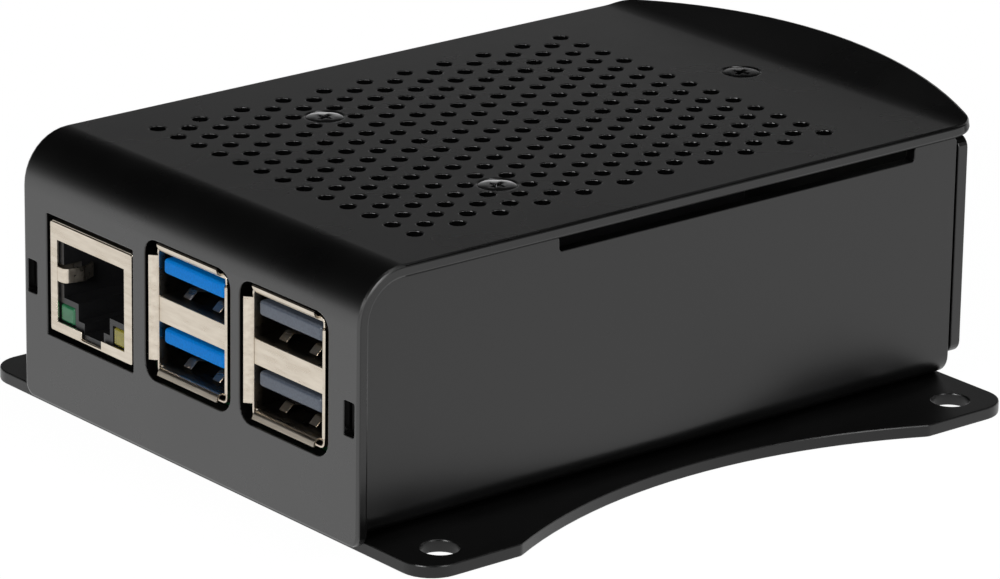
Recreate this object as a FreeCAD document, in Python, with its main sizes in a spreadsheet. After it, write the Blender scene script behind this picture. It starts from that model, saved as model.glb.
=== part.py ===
import FreeCAD, Part
import math
import os
import re
import Sketcher

# A folded sheet metal case for a credit-card-size single board computer,
# screwed to a wall or a bench through the four ears of its mounting plate.
#
# Axes, in millimetres: X runs along the port face, +Y from the port face to the
# rear, +Z up. The origin is the centre of the four ear holes, on the underside
# of the mounting plate. A cover folded over the front holds the perforated top;
# a tray with two side walls and a rear wall carries the board on four pillars.

DIMENSIONS = (
    # The sheet that all three folded pieces are cut from
    ("gauge", 1.5),
    ("fit_gap", 0.2),
    # Mounting plate with waisted sides and four ears
    ("plate_width", 83.8),
    ("plate_length", 89.0),
    ("plate_corner", 4.0),
    ("waist_radius", 69.0),
    ("waist_half_width", 34.6),
    ("waist_ease", 3.0),
    ("ear_spacing_x", 74.4),
    ("ear_spacing_y", 77.5),
    ("ear_hole", 4.5),
    # Cover
    ("cover_width", 63.4),
    ("front_face", 46.0),
    ("cover_top", 33.1),
    ("cover_skirt", 1.0),
    ("front_bend", 6.2),
    ("lip_start", 44.0),
    ("lip_reach", 53.1),
    ("lip_tilt", 12.0),
    ("lip_arc", 73.0),
    ("lip_corner", 3.0),
    ("skirt_corner", 1.6),
    # Perforation, in rows that are offset by half a pitch
    ("hole_size", 2.0),
    ("hole_pitch", 4.0),
    ("row_pitch", 3.068),
    ("first_row", 32.13),
    ("long_row_count", 13),
    ("row_pairs", 10),
    # Screws through the cover
    ("fan_screw_spacing", 32.0),
    ("fan_screw_back", 13.72),
    ("rear_screw_back", 37.6),
    ("screw_size", 2.5),
    ("screw_hole", 2.8),
    ("head_size", 4.6),
    ("head_height", 1.05),
    ("sink_size", 4.8),
    ("fan_screw_length", 14.0),
    ("rear_screw_length", 6.0),
    ("nut_across_flats", 5.0),
    ("nut_height", 2.0),
    ("clinch_size", 5.6),
    ("clinch_neck", 4.4),
    ("clinch_height", 1.5),
    # Tray
    ("tray_half_width", 30.8),
    ("tray_length", 88.7),
    ("wall_top", 31.4),
    ("floor_bend", 2.5),
    ("rear_outer", 46.2),
    ("rear_foot_half", 25.5),
    ("rear_side_bottom", 3.8),
    ("rear_corner", 1.5),
    ("tab_half_width", 8.0),
    ("tab_front", 32.6),
    ("catch_bottom", 14.25),
    ("catch_height", 3.65),
    ("catch_reach", 0.65),
    ("slot_bottom", 14.05),
    ("slot_height", 4.05),
    ("slot_centre", 30.02),
    ("slot_width", 1.85),
    ("notch_front", 16.8),
    ("notch_back", 37.55),
    ("notch_bottom", 29.7),
    # Board, measured from its port edge and from its power edge
    ("board_width", 56.0),
    ("board_length", 85.0),
    ("board_gauge", 1.5),
    ("board_corner", 3.0),
    ("board_left", 28.8),
    ("board_front", 42.8),
    ("board_hole", 2.7),
    ("board_hole_inset", 3.5),
    ("board_hole_span_x", 49.0),
    ("board_hole_span_y", 58.0),
    ("pillar_height", 6.0),
    ("pillar_across_flats", 5.0),
    ("pillar_bore", 2.6),
    ("board_screw", 2.5),
    ("board_screw_head", 4.6),
    ("board_screw_head_height", 1.6),
    ("plate_screw_head", 4.7),
    ("plate_screw_sink", 4.8),
    ("plate_screw_head_height", 1.1),
    # Network socket
    ("jack_across", 10.2),
    ("jack_width", 16.0),
    ("jack_height", 13.5),
    ("jack_depth", 21.3),
    ("jack_face", 45.8),
    ("jack_cut_gap", 0.5),
    ("jack_cut_rise", 0.7),
    # Stacked serial ports
    ("fast_port_across", 29.1),
    ("slow_port_across", 47.0),
    ("port_width", 13.2),
    ("port_bottom", 10.75),
    ("port_top", 26.2),
    ("port_face", 45.3),
    ("port_depth", 17.5),
    ("bay_width", 12.5),
    ("bay_height", 5.3),
    ("bay_low", 11.85),
    ("bay_high", 20.25),
    ("bay_depth", 11.5),
    ("tongue_width", 11.4),
    ("tongue_gauge", 1.85),
    ("tongue_rise", 2.75),
    ("tongue_setback", 0.25),
    ("lip_flare", 0.75),
    ("lip_gauge", 0.3),
    ("port_cut_half", 8.1),
    ("port_cut_bottom", 10.1),
    ("port_cut_top", 27.0),
    ("port_cut_corner", 2.0),
    # Fan that the two front screws hang under the cover
    ("fan_size", 40.0),
    ("fan_depth", 10.0),
    ("fan_bore", 37.6),
    ("fan_corner", 3.0),
    ("fan_hole", 3.4),
    ("hub_plate", 18.0),
    ("hub_plate_gauge", 1.6),
    ("spoke_width", 2.4),
    ("rotor_cup", 20.0),
    ("rotor_height", 7.2),
    ("rotor_gap", 0.5),
    ("blade_tip", 17.7),
    ("blade_lean", 3.2),
    ("blade_rise", 2.6),
    ("blade_count", 7),
    ("shaft_size", 2.0),
    ("shaft_clearance", 0.04),
    ("bearing_size", 5.0),
)

doc = FreeCAD.newDocument("BoardComputerCase")
sheet = doc.addObject("Spreadsheet::Sheet", "Sizes")
for row, (alias, number) in enumerate(DIMENSIONS, start=1):
    sheet.set("A%d" % row, alias)
    sheet.set("B%d" % row, str(number))
    sheet.setAlias("B%d" % row, alias)
doc.recompute()

SHEET_WORD = re.compile(r"\b(?!(?:sqrt|cos|sin|tan)\b)[a-z][a-z_0-9]*\b")


def over_sheet(expression):
    """Write an expression over the sheet's plain names as the document reads it."""
    return SHEET_WORD.sub(lambda word: "Sizes." + word.group(), str(expression))


def value(expression):
    """Work out an expression over the sheet's names."""
    return float(sheet.evalExpression(over_sheet(expression)))


def bind(thing, name, expression):
    """Tie one property of an object to an expression over the sheet."""
    thing.setExpression(name, over_sheet(expression))


def minus(expression):
    """The negative of an expression."""
    return "-(%s)" % expression


def plus(first, second):
    """The sum of two expressions."""
    return "(%s) + (%s)" % (first, second)


# Places that several pieces share, as expressions

COVER_UNDERSIDE = "cover_top - gauge"
FLOOR_TOP = "2 * gauge"
BOARD_BOTTOM = "2 * gauge + pillar_height"
BOARD_TOP = "2 * gauge + pillar_height + board_gauge"
FAN_MIDDLE_Y = "fan_screw_spacing / 2 - fan_screw_back"
FAN_BOTTOM = "cover_top - gauge - fan_depth"
ROTOR_BOTTOM = FAN_BOTTOM + " + hub_plate_gauge + rotor_gap"


def across(distance):
    """X of a point so far from the board's power edge."""
    return "(%s) - board_left" % distance


def along(distance):
    """Y of a point so far from the board's card end."""
    return "board_length - board_front - (%s)" % distance


BOARD_HOLES = tuple(
    (across(x), along(y))
    for x in ("board_hole_inset", "board_hole_inset + board_hole_span_x")
    for y in ("board_hole_inset", "board_hole_inset + board_hole_span_y")
)


# Helpers for sketches and bodies


def new_body(label):
    """Start a body whose label names its node."""
    body = doc.addObject("PartDesign::Body", label)
    body.Label = label
    return body


def origin_feature(body, role):
    """One of the body's own origin planes or axes."""
    for feature in body.Origin.OriginFeatures:
        if feature.Role == role:
            return feature
    raise ValueError(role)


def new_sketch(body, name, role, offset="0"):
    """A sketch on one of the body's origin planes, moved along its normal."""
    sketch = body.newObject("Sketcher::SketchObject", name)
    sketch.AttachmentSupport = (origin_feature(body, role), "")
    sketch.MapMode = "FlatFace"
    if offset != "0":
        bind(sketch, "AttachmentOffset.Base.z", offset)
    return sketch


def fix_number(sketch, kind, target, expression):
    """Add a constraint of one kind and tie its value to the sheet."""
    number = value(expression)
    index = sketch.addConstraint(Sketcher.Constraint(kind, *target, number))
    bind(sketch, "Constraints[%d]" % index, expression)


def fix_point(sketch, geometry, end, place):
    """Hold one end or centre of a sketch element at a place from the origin."""
    for axis, kind, expression in ((-2, "DistanceX", place[0]), (-1, "DistanceY", place[1])):
        if abs(value(expression)) < 1e-9:
            sketch.addConstraint(Sketcher.Constraint("PointOnObject", geometry, end, axis))
        else:
            fix_number(sketch, kind, (-1, 1, geometry, end), expression)


def trace(sketch, corners):
    """Draw a closed outline of straight lines through corners given as expressions."""
    points = [FreeCAD.Vector(value(x), value(y), 0) for x, y in corners]
    start = sketch.GeometryCount
    count = len(points)
    for index in range(count):
        line = Part.LineSegment(points[index], points[(index + 1) % count])
        sketch.addGeometry(line, False)
    for index in range(count):
        following = start + (index + 1) % count
        joint = Sketcher.Constraint("Coincident", start + index, 2, following, 1)
        sketch.addConstraint(joint)
    for index, corner in enumerate(corners):
        fix_point(sketch, start + index, 1, corner)


def rectangle(sketch, left, bottom, right, top):
    """Draw a rectangle between two opposite corners given as expressions."""
    trace(sketch, ((left, bottom), (right, bottom), (right, top), (left, top)))


def rounded(sketch, left, bottom, right, top, radius):
    """Draw a rectangle with rounded corners between two opposite corners."""
    low_x, low_y, high_x, high_y, ease = map(value, (left, bottom, right, top, radius))
    centres = (
        (low_x + ease, low_y + ease),
        (high_x - ease, low_y + ease),
        (high_x - ease, high_y - ease),
        (low_x + ease, high_y - ease),
    )
    up = FreeCAD.Vector(0, 0, 1)
    arcs = []
    for index, (x, y) in enumerate(centres):
        turn = math.pi + index * math.pi / 2
        ring = Part.Circle(FreeCAD.Vector(x, y, 0), up, ease)
        arcs.append(Part.ArcOfCircle(ring, turn, turn + math.pi / 2))
    start = sketch.GeometryCount
    for index, arc in enumerate(arcs):
        sketch.addGeometry(arc, False)
        following = arcs[(index + 1) % 4]
        sketch.addGeometry(Part.LineSegment(arc.EndPoint, following.StartPoint), False)
    for index in range(8):
        following = start + (index + 1) % 8
        joint = Sketcher.Constraint("Tangent", start + index, 2, following, 1)
        sketch.addConstraint(joint)
    for index, kind in ((1, "Horizontal"), (3, "Vertical"), (5, "Horizontal"), (7, "Vertical")):
        sketch.addConstraint(Sketcher.Constraint(kind, start + index))
    for index in (2, 4, 6):
        sketch.addConstraint(Sketcher.Constraint("Equal", start, start + index))
    fix_number(sketch, "Radius", (start,), radius)
    fix_number(sketch, "DistanceX", (-1, 1, start + 7, 1), left)
    fix_number(sketch, "DistanceX", (-1, 1, start + 3, 1), right)
    fix_number(sketch, "DistanceY", (-1, 1, start + 1, 1), bottom)
    fix_number(sketch, "DistanceY", (-1, 1, start + 5, 1), top)


def circle(sketch, centre, diameter):
    """Draw a circle from expressions for its centre and diameter."""
    middle = FreeCAD.Vector(value(centre[0]), value(centre[1]), 0)
    normal = FreeCAD.Vector(0, 0, 1)
    ring = sketch.addGeometry(Part.Circle(middle, normal, value(diameter) / 2), False)
    fix_number(sketch, "Diameter", (ring,), diameter)
    fix_point(sketch, ring, 3, centre)


def settle(feature):
    """Recompute after a new feature and stop if it failed."""
    doc.recompute()
    if "Invalid" in feature.State or "Error" in feature.State:
        raise ValueError("%s failed: %s" % (feature.Name, feature.getStatusString()))
    return feature


def facets(sketch, centre, diameter, sides=6):
    """Draw a small round hole with flat sides, which keeps the part light."""
    corners = []
    for index in range(sides):
        turn = "%.1fdeg" % (360.0 * index / sides)
        x = "(%s) + (%s) / 2 * cos(%s)" % (centre[0], diameter, turn)
        y = "(%s) + (%s) / 2 * sin(%s)" % (centre[1], diameter, turn)
        corners.append((x, y))
    trace(sketch, corners)


def pad(body, name, sketch, length, symmetric=False, reverse=False):
    """Grow a sketch into the body."""
    feature = body.newObject("PartDesign::Pad", name)
    feature.Profile = sketch
    bind(feature, "Length", length)
    if symmetric:
        feature.SideType = "Symmetric"
    feature.Reversed = reverse
    return settle(feature)


def pocket(body, name, sketch, length=None, reverse=False):
    """Cut a sketch out of the body and make sure that metal came away."""
    before = body.Shape.Volume
    feature = body.newObject("PartDesign::Pocket", name)
    feature.Profile = sketch
    if length is None:
        feature.Type = "ThroughAll"
    else:
        bind(feature, "Length", length)
    feature.Reversed = reverse
    settle(feature)
    if body.Shape.Volume >= before - 1e-6:
        raise ValueError(name + " cuts nothing")
    return feature


def mirror(body, name, feature, plane_role):
    """Repeat a feature on the far side of one of the origin planes."""
    twin = body.newObject("PartDesign::Mirrored", name)
    twin.Originals = [feature]
    twin.MirrorPlane = (origin_feature(body, plane_role), [""])
    body.Tip = twin
    return settle(twin)


def edges_where(body, test):
    """Names of the edges of the body's shape that pass a test."""
    names = []
    for index, edge in enumerate(body.Shape.Edges, start=1):
        if test(edge):
            names.append("Edge%d" % index)
    return names


def dress(body, kind, name, radius, test):
    """Round or chamfer the edges that pass a test."""
    names = edges_where(body, test)
    if not names:
        raise ValueError(name + " finds no edge")
    base = body.Tip
    feature = body.newObject("PartDesign::" + kind, name)
    feature.Base = (base, names)
    bind(feature, "Radius" if kind == "Fillet" else "Size", radius)
    return settle(feature)


def runs(edge, axis):
    """Whether an edge is straight along one axis, 0 to 2."""
    box = edge.BoundBox
    spans = (box.XLength, box.YLength, box.ZLength)
    others = [span for index, span in enumerate(spans) if index != axis]
    return spans[axis] > 1e-3 and max(others) < 1e-3


def passes(edge, place):
    """Whether an edge's middle is at a place, where None stands for anywhere."""
    middle = edge.BoundBox.Center
    for number, expression in zip(middle, place):
        if expression is not None and abs(number - value(expression)) > 0.02:
            return False
    return True


def straight_edges(axis, places):
    """A test for edges along one axis through any of several places."""

    def test(edge):
        return runs(edge, axis) and any(passes(edge, place) for place in places)

    return test


def rim_edges(places, diameter):
    """A test for the short edges round holes of one size about several centres."""

    def test(edge):
        middle = edge.BoundBox.Center
        for place in places:
            centre = FreeCAD.Vector(*[value(item) for item in place])
            if middle.distanceToPoint(centre) < value(diameter) / 2 and abs(middle.z - centre.z) < 0.02:
                return True
        return False

    return test


# Helpers for pieces made of primitives


def place(solid, corner):
    """Tie a primitive's position to three expressions."""
    for name, expression in zip("xyz", corner):
        bind(solid, "Placement.Base." + name, expression)


def block(name, corner, lengths):
    """A box from its lowest corner and its three lengths."""
    solid = doc.addObject("Part::Box", name)
    for prop, expression in zip(("Length", "Width", "Height"), lengths):
        bind(solid, prop, expression)
    place(solid, corner)
    return solid


def rod(name, foot, diameter, length):
    """An upright cylinder from the centre of its foot."""
    solid = doc.addObject("Part::Cylinder", name)
    bind(solid, "Radius", "(%s) / 2" % diameter)
    bind(solid, "Height", length)
    place(solid, foot)
    return solid


def faceted_rod(name, foot, diameter, length, sides=6):
    """An upright rod with flat sides, for small fasteners."""
    solid = doc.addObject("Part::Prism", name)
    solid.Polygon = sides
    bind(solid, "Circumradius", "(%s) / 2" % diameter)
    bind(solid, "Height", length)
    place(solid, foot)
    return solid


def hexagon(name, foot, across_flats, length):
    """An upright six-sided prism."""
    solid = doc.addObject("Part::Prism", name)
    solid.Polygon = 6
    bind(solid, "Circumradius", "(%s) / sqrt(3)" % across_flats)
    bind(solid, "Height", length)
    place(solid, foot)
    return solid


def fuse(name, solids):
    """One solid from several that touch or overlap."""
    union = doc.addObject("Part::MultiFuse", name)
    union.Shapes = solids
    union.Refine = True
    return union


def cut(name, base, tool):
    """A solid with another taken out of it."""
    remains = doc.addObject("Part::Cut", name)
    remains.Base = base
    remains.Tool = tool
    remains.Refine = True
    return remains


def group(name, solids):
    """Separate like solids that share one node."""
    together = doc.addObject("Part::Compound", name)
    together.Links = solids
    return together


def prism(name, plane_role, corners, start, length):
    """A straight-sided solid on a profile, as a body of its own."""
    body = new_body(name)
    profile = new_sketch(body, name + "_profile", plane_role, start)
    trace(profile, corners)
    pad(body, name + "_pad", profile, length)
    return body


nodes = []


def node(thing, label=None):
    """List a finished piece as a node of the part."""
    if label is not None:
        thing.Label = label
    nodes.append(thing)
    return thing


# Mounting plate: a flat blank with a waisted outline, four ears and countersinks


def make_mounting_plate():
    body = new_body("mounting_plate")
    blank = new_sketch(body, "plate_blank", "XY_Plane")
    half_width = "plate_width / 2"
    half_length = "plate_length / 2"
    rectangle(blank, minus(half_width), minus(half_length), half_width, half_length)
    pad(body, "plate_pad", blank, "gauge")

    waist = new_sketch(body, "plate_waist", "XY_Plane")
    circle(waist, ("waist_half_width + waist_radius", "0"), "2 * waist_radius")
    waist_cut = pocket(body, "plate_waist_cut", waist, reverse=True)
    mirror(body, "plate_waist_mirror", waist_cut, "YZ_Plane")

    corners = [
        (x, y, "gauge / 2")
        for x in (half_width, minus(half_width))
        for y in (half_length, minus(half_length))
    ]
    dress(body, "Fillet", "plate_corners", "plate_corner", straight_edges(2, corners))
    run = "sqrt(waist_radius^2 - (waist_half_width + waist_radius - plate_width / 2)^2)"
    kinks = [
        (x, y, "gauge / 2")
        for x in (half_width, minus(half_width))
        for y in (run, minus(run))
    ]
    dress(body, "Fillet", "plate_kinks", "waist_ease", straight_edges(2, kinks))

    holes = new_sketch(body, "ear_holes", "XY_Plane")
    for x in ("ear_spacing_x / 2", "-ear_spacing_x / 2"):
        for y in ("ear_spacing_y / 2", "-ear_spacing_y / 2"):
            circle(holes, (x, y), "ear_hole")
    pocket(body, "ear_hole_cut", holes, reverse=True)

    fixings = new_sketch(body, "pillar_holes", "XY_Plane")
    for centre in BOARD_HOLES:
        facets(fixings, centre, "board_hole")
    pocket(body, "pillar_hole_cut", fixings, reverse=True)
    sinks = new_sketch(body, "pillar_sinks", "XY_Plane")
    for centre in BOARD_HOLES:
        facets(sinks, centre, "plate_screw_sink")
    pocket(body, "pillar_sink_cut", sinks, length="plate_screw_head_height", reverse=True)
    return node(body)


# Cover: one folded sheet, with the front face bent down and the rear lip bent up


def cover_section():
    """Corners of the cover's cross-section, in Y and Z."""
    slope = "(lip_reach - lip_start + 2)"
    over_y = "lip_start + " + slope
    over_z = "cover_top + %s * tan(lip_tilt * 1deg)" % slope
    knee = "lip_start + gauge * tan(lip_tilt * 0.5deg)"
    return (
        ("-front_face", "cover_skirt"),
        ("-front_face", "cover_top"),
        ("lip_start", "cover_top"),
        (over_y, over_z),
        (
            "%s + gauge * sin(lip_tilt * 1deg)" % over_y,
            "%s - gauge * cos(lip_tilt * 1deg)" % over_z,
        ),
        (knee, COVER_UNDERSIDE),
        ("-front_face + gauge", COVER_UNDERSIDE),
        ("-front_face + gauge", "cover_skirt"),
    )


def trim_rear_lip(body):
    """Cut the lip's free edge to a wide arc."""
    trim = new_sketch(body, "lip_outline", "XY_Plane")
    reach = value("lip_reach")
    radius = value("lip_arc")
    side = value("cover_width / 2 + 1")
    far = reach + 6
    centre = FreeCAD.Vector(0, reach - radius, 0)
    angle = math.asin(side / radius)
    shoulder = centre.y + radius * math.cos(angle)
    ring = Part.Circle(centre, FreeCAD.Vector(0, 0, 1), radius)
    arc = Part.ArcOfCircle(ring, math.pi / 2 - angle, math.pi / 2 + angle)
    corners = ((-side, shoulder), (-side, far), (side, far), (side, shoulder))
    points = [FreeCAD.Vector(x, y, 0) for x, y in corners]
    trim.addGeometry(arc, False)
    for start, end in zip(points, points[1:]):
        trim.addGeometry(Part.LineSegment(start, end), False)
    trim.addConstraint(Sketcher.Constraint("Coincident", 0, 2, 1, 1))
    trim.addConstraint(Sketcher.Constraint("Coincident", 1, 2, 2, 1))
    trim.addConstraint(Sketcher.Constraint("Coincident", 2, 2, 3, 1))
    trim.addConstraint(Sketcher.Constraint("Coincident", 3, 2, 0, 1))
    trim.addConstraint(Sketcher.Constraint("Vertical", 1))
    trim.addConstraint(Sketcher.Constraint("Horizontal", 2))
    trim.addConstraint(Sketcher.Constraint("Vertical", 3))
    trim.addConstraint(Sketcher.Constraint("PointOnObject", 0, 3, -2))
    fix_number(trim, "Radius", (0,), "lip_arc")
    fix_number(trim, "DistanceY", (-1, 1, 0, 3), "lip_reach - lip_arc")
    fix_point(trim, 2, 1, ("-cover_width / 2 - 1", "lip_reach + 6"))
    fix_number(trim, "DistanceX", (-1, 1, 3, 1), "cover_width / 2 + 1")
    pocket(body, "lip_trim", trim, reverse=True)


def punch_rows(sketch, rows):
    """Draw rows of holes, each row given as its number from the front and its count.

    Each hole is drawn with four sides and the area of the round punch, so that the
    field of some 260 holes stays light.
    """
    sides = 4
    same_area = math.sqrt(2 * math.pi / (sides * math.sin(2 * math.pi / sides)))
    radius = value("hole_size") / 2 * same_area
    pitch = value("hole_pitch")
    for number, count in rows:
        back = value("row_pitch") * number - value("first_row")
        for index in range(count):
            middle = pitch * (index - (count - 1) / 2)
            start = sketch.GeometryCount
            corners = []
            for turn in range(sides):
                angle = 2 * math.pi * turn / sides
                x = middle + radius * math.cos(angle)
                corners.append(FreeCAD.Vector(x, back + radius * math.sin(angle), 0))
            ends = corners[1:] + corners[:1]
            lines = [Part.LineSegment(first, second) for first, second in zip(corners, ends)]
            sketch.addGeometry(lines, False)
            joints = []
            for turn in range(sides):
                following = start + (turn + 1) % sides
                joint = Sketcher.Constraint("Coincident", start + turn, 2, following, 1)
                joints.append(joint)
                joints.append(Sketcher.Constraint("Block", start + turn))
            sketch.addConstraint(joints)


def perforate(body):
    """Punch the rearmost row, then the first two rows and step that pair back."""
    long_count = int(value("long_row_count"))
    pairs = int(value("row_pairs"))
    last = new_sketch(body, "rearmost_row", "XY_Plane")
    punch_rows(last, [(2 * pairs, long_count)])
    pocket(body, "rearmost_punch", last, reverse=True)
    pair = new_sketch(body, "row_pair", "XY_Plane")
    punch_rows(pair, [(0, long_count), (1, long_count - 1)])
    punch = pocket(body, "row_pair_punch", pair, reverse=True)
    field = body.newObject("PartDesign::LinearPattern", "row_field")
    field.Originals = [punch]
    field.Direction = (origin_feature(body, "Y_Axis"), [""])
    field.Mode = "Spacing"
    bind(field, "Offset", "2 * row_pitch")
    bind(field, "Occurrences", "row_pairs")
    body.Tip = field
    settle(field)


def make_top_cover():
    body = new_body("top_cover")
    section = new_sketch(body, "cover_section", "YZ_Plane")
    trace(section, cover_section())
    pad(body, "cover_pad", section, "cover_width", symmetric=True)

    outer = straight_edges(0, [("0", "-front_face", "cover_top")])
    dress(body, "Fillet", "front_bend_outside", "front_bend", outer)
    inner = straight_edges(0, [("0", "-front_face + gauge", COVER_UNDERSIDE)])
    dress(body, "Fillet", "front_bend_inside", "front_bend - gauge", inner)
    crease = straight_edges(0, [("0", "lip_start", "cover_top")])
    dress(body, "Fillet", "lip_bend_inside", "gauge", crease)
    back = straight_edges(0, [("0", "lip_start + gauge * tan(lip_tilt * 0.5deg)", COVER_UNDERSIDE)])
    dress(body, "Fillet", "lip_bend_outside", "2 * gauge", back)

    trim_rear_lip(body)
    side = value("cover_width / 2")
    hinge = value("lip_start")

    def lip_corner(edge):
        box = edge.BoundBox
        upright = box.XLength < 1e-3 and 0.5 < box.ZLength < value("gauge") + 0.1
        return upright and abs(abs(box.XMax) - side) < 0.01 and box.YMin > hinge + 0.5

    dress(body, "Fillet", "lip_corners", "lip_corner", lip_corner)
    sides = ("cover_width / 2", "-cover_width / 2")
    feet = [(x, "-front_face + gauge / 2", "cover_skirt") for x in sides]
    dress(body, "Fillet", "skirt_corners", "skirt_corner", straight_edges(1, feet))

    screws = new_sketch(body, "cover_screw_holes", "XY_Plane")
    centres = (
        ("fan_screw_spacing / 2", "-fan_screw_back"),
        ("-fan_screw_spacing / 2", "-fan_screw_back"),
        ("0", "rear_screw_back"),
    )
    for centre in centres:
        facets(screws, centre, "screw_hole")
    pocket(body, "cover_screw_cut", screws, reverse=True)
    rims = rim_edges([(x, y, "cover_top") for x, y in centres], "screw_hole")
    dress(body, "Chamfer", "cover_sinks", "(sink_size - screw_hole) / 2", rims)

    ports = new_sketch(body, "port_windows", "XZ_Plane")
    jack = across("jack_across")
    reach = "(jack_width / 2 + jack_cut_gap)"
    low = BOARD_TOP + " - jack_cut_rise"
    high = BOARD_TOP + " + jack_height + jack_cut_rise"
    rectangle(ports, "%s - %s" % (jack, reach), low, "%s + %s" % (jack, reach), high)
    pocket(body, "jack_window_cut", ports, reverse=True)

    stacks = new_sketch(body, "stack_windows", "XZ_Plane")
    for port in ("fast_port_across", "slow_port_across"):
        left = across(port + " - port_cut_half")
        right = across(port + " + port_cut_half")
        rounded(stacks, left, "port_cut_bottom", right, "port_cut_top", "port_cut_corner")
    pocket(body, "stack_window_cut", stacks, reverse=True)

    slots = new_sketch(body, "catch_slots", "XZ_Plane")
    for middle in ("slot_centre", "-slot_centre"):
        left = "%s - slot_width / 2" % middle
        right = "%s + slot_width / 2" % middle
        rectangle(slots, left, "slot_bottom", right, "slot_bottom + slot_height")
    pocket(body, "catch_slot_cut", slots, reverse=True)

    perforate(body)
    return node(body)


# Tray: floor, two side walls, a rear wall with a screw tab, and two front catches


def make_tray_shell(body):
    """Fold up the floor, the side walls and the rear wall."""
    trough = new_sketch(body, "tray_section", "XZ_Plane")
    outside = "tray_half_width"
    inside = "tray_half_width - gauge"
    corners = (
        (minus(outside), "wall_top"),
        (minus(outside), "gauge"),
        (outside, "gauge"),
        (outside, "wall_top"),
        (inside, "wall_top"),
        (inside, FLOOR_TOP),
        (minus(inside), FLOOR_TOP),
        (minus(inside), "wall_top"),
    )
    trace(trough, corners)
    pad(body, "tray_pad", trough, "tray_length", symmetric=True)
    outer = straight_edges(1, [(x, "0", "gauge") for x in (outside, minus(outside))])
    dress(body, "Fillet", "tray_bends_outside", "floor_bend", outer)
    inner = straight_edges(1, [(x, "0", FLOOR_TOP) for x in (inside, minus(inside))])
    dress(body, "Fillet", "tray_bends_inside", "floor_bend - gauge", inner)

    relief = new_sketch(body, "rear_relief", "XY_Plane")
    floor_half = "tray_half_width - floor_bend"
    floor_end = "rear_outer - 2 * gauge"
    rectangle(relief, minus(floor_half), floor_end, floor_half, "rear_outer")
    pocket(body, "rear_relief_cut", relief, length=FLOOR_TOP, reverse=True)

    foot = new_sketch(body, "rear_foot", "YZ_Plane")
    corners = (
        ("rear_outer - 4 * gauge", "gauge"),
        ("rear_outer", "gauge"),
        ("rear_outer", "rear_side_bottom + 2 * gauge"),
        ("rear_outer - gauge", "rear_side_bottom + 2 * gauge"),
        ("rear_outer - gauge", FLOOR_TOP),
        ("rear_outer - 4 * gauge", FLOOR_TOP),
    )
    trace(foot, corners)
    pad(body, "rear_foot_pad", foot, "2 * rear_foot_half", symmetric=True)
    outer = straight_edges(0, [("0", "rear_outer", "gauge")])
    dress(body, "Fillet", "rear_bend_outside", "floor_bend", outer)
    inner = straight_edges(0, [("0", "rear_outer - gauge", FLOOR_TOP)])
    dress(body, "Fillet", "rear_bend_inside", "floor_bend - gauge", inner)

    panel = new_sketch(body, "rear_panel", "XZ_Plane", minus("rear_outer"))
    rectangle(panel, minus(outside), "rear_side_bottom", outside, "wall_top - fit_gap")
    pad(body, "rear_panel_pad", panel, "gauge")
    tips = [
        (x, "rear_outer - gauge / 2", z)
        for x in (outside, minus(outside))
        for z in ("rear_side_bottom", "wall_top - fit_gap")
    ]
    dress(body, "Fillet", "rear_panel_corners", "rear_corner", straight_edges(1, tips))


def make_screw_tab(body):
    """Bend a tab forward from the rear wall, under the cover."""
    reliefs = new_sketch(body, "tab_reliefs", "XZ_Plane", "-rear_outer + 2 * gauge")
    reach = "tab_half_width + 1"
    rectangle(reliefs, minus(reach), "wall_top - 2 * gauge", reach, "cover_top")
    pocket(body, "tab_relief_cut", reliefs)

    tab = new_sketch(body, "screw_tab", "YZ_Plane")
    corners = (
        ("rear_outer", "wall_top - 4 * gauge"),
        ("rear_outer", COVER_UNDERSIDE),
        ("tab_front", COVER_UNDERSIDE),
        ("tab_front", "cover_top - 2 * gauge"),
        ("rear_outer - gauge", "cover_top - 2 * gauge"),
        ("rear_outer - gauge", "wall_top - 4 * gauge"),
    )
    trace(tab, corners)
    pad(body, "screw_tab_pad", tab, "2 * tab_half_width", symmetric=True)
    outer = straight_edges(0, [("0", "rear_outer", COVER_UNDERSIDE)])
    dress(body, "Fillet", "tab_bend_outside", "floor_bend", outer)
    inner = straight_edges(0, [("0", "rear_outer - gauge", "cover_top - 2 * gauge")])
    dress(body, "Fillet", "tab_bend_inside", "floor_bend - gauge", inner)
    middle = "cover_top - 1.5 * gauge"
    tips = [(x, "tab_front", middle) for x in ("tab_half_width", "-tab_half_width")]
    dress(body, "Fillet", "tab_corners", "2 * gauge", straight_edges(2, tips))
    hole = new_sketch(body, "tab_hole", "XY_Plane", "cover_top - 4 * gauge")
    facets(hole, ("0", "rear_screw_back"), "clinch_neck + 2 * fit_gap")
    pocket(body, "tab_hole_cut", hole, length="4 * gauge", reverse=True)


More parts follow.
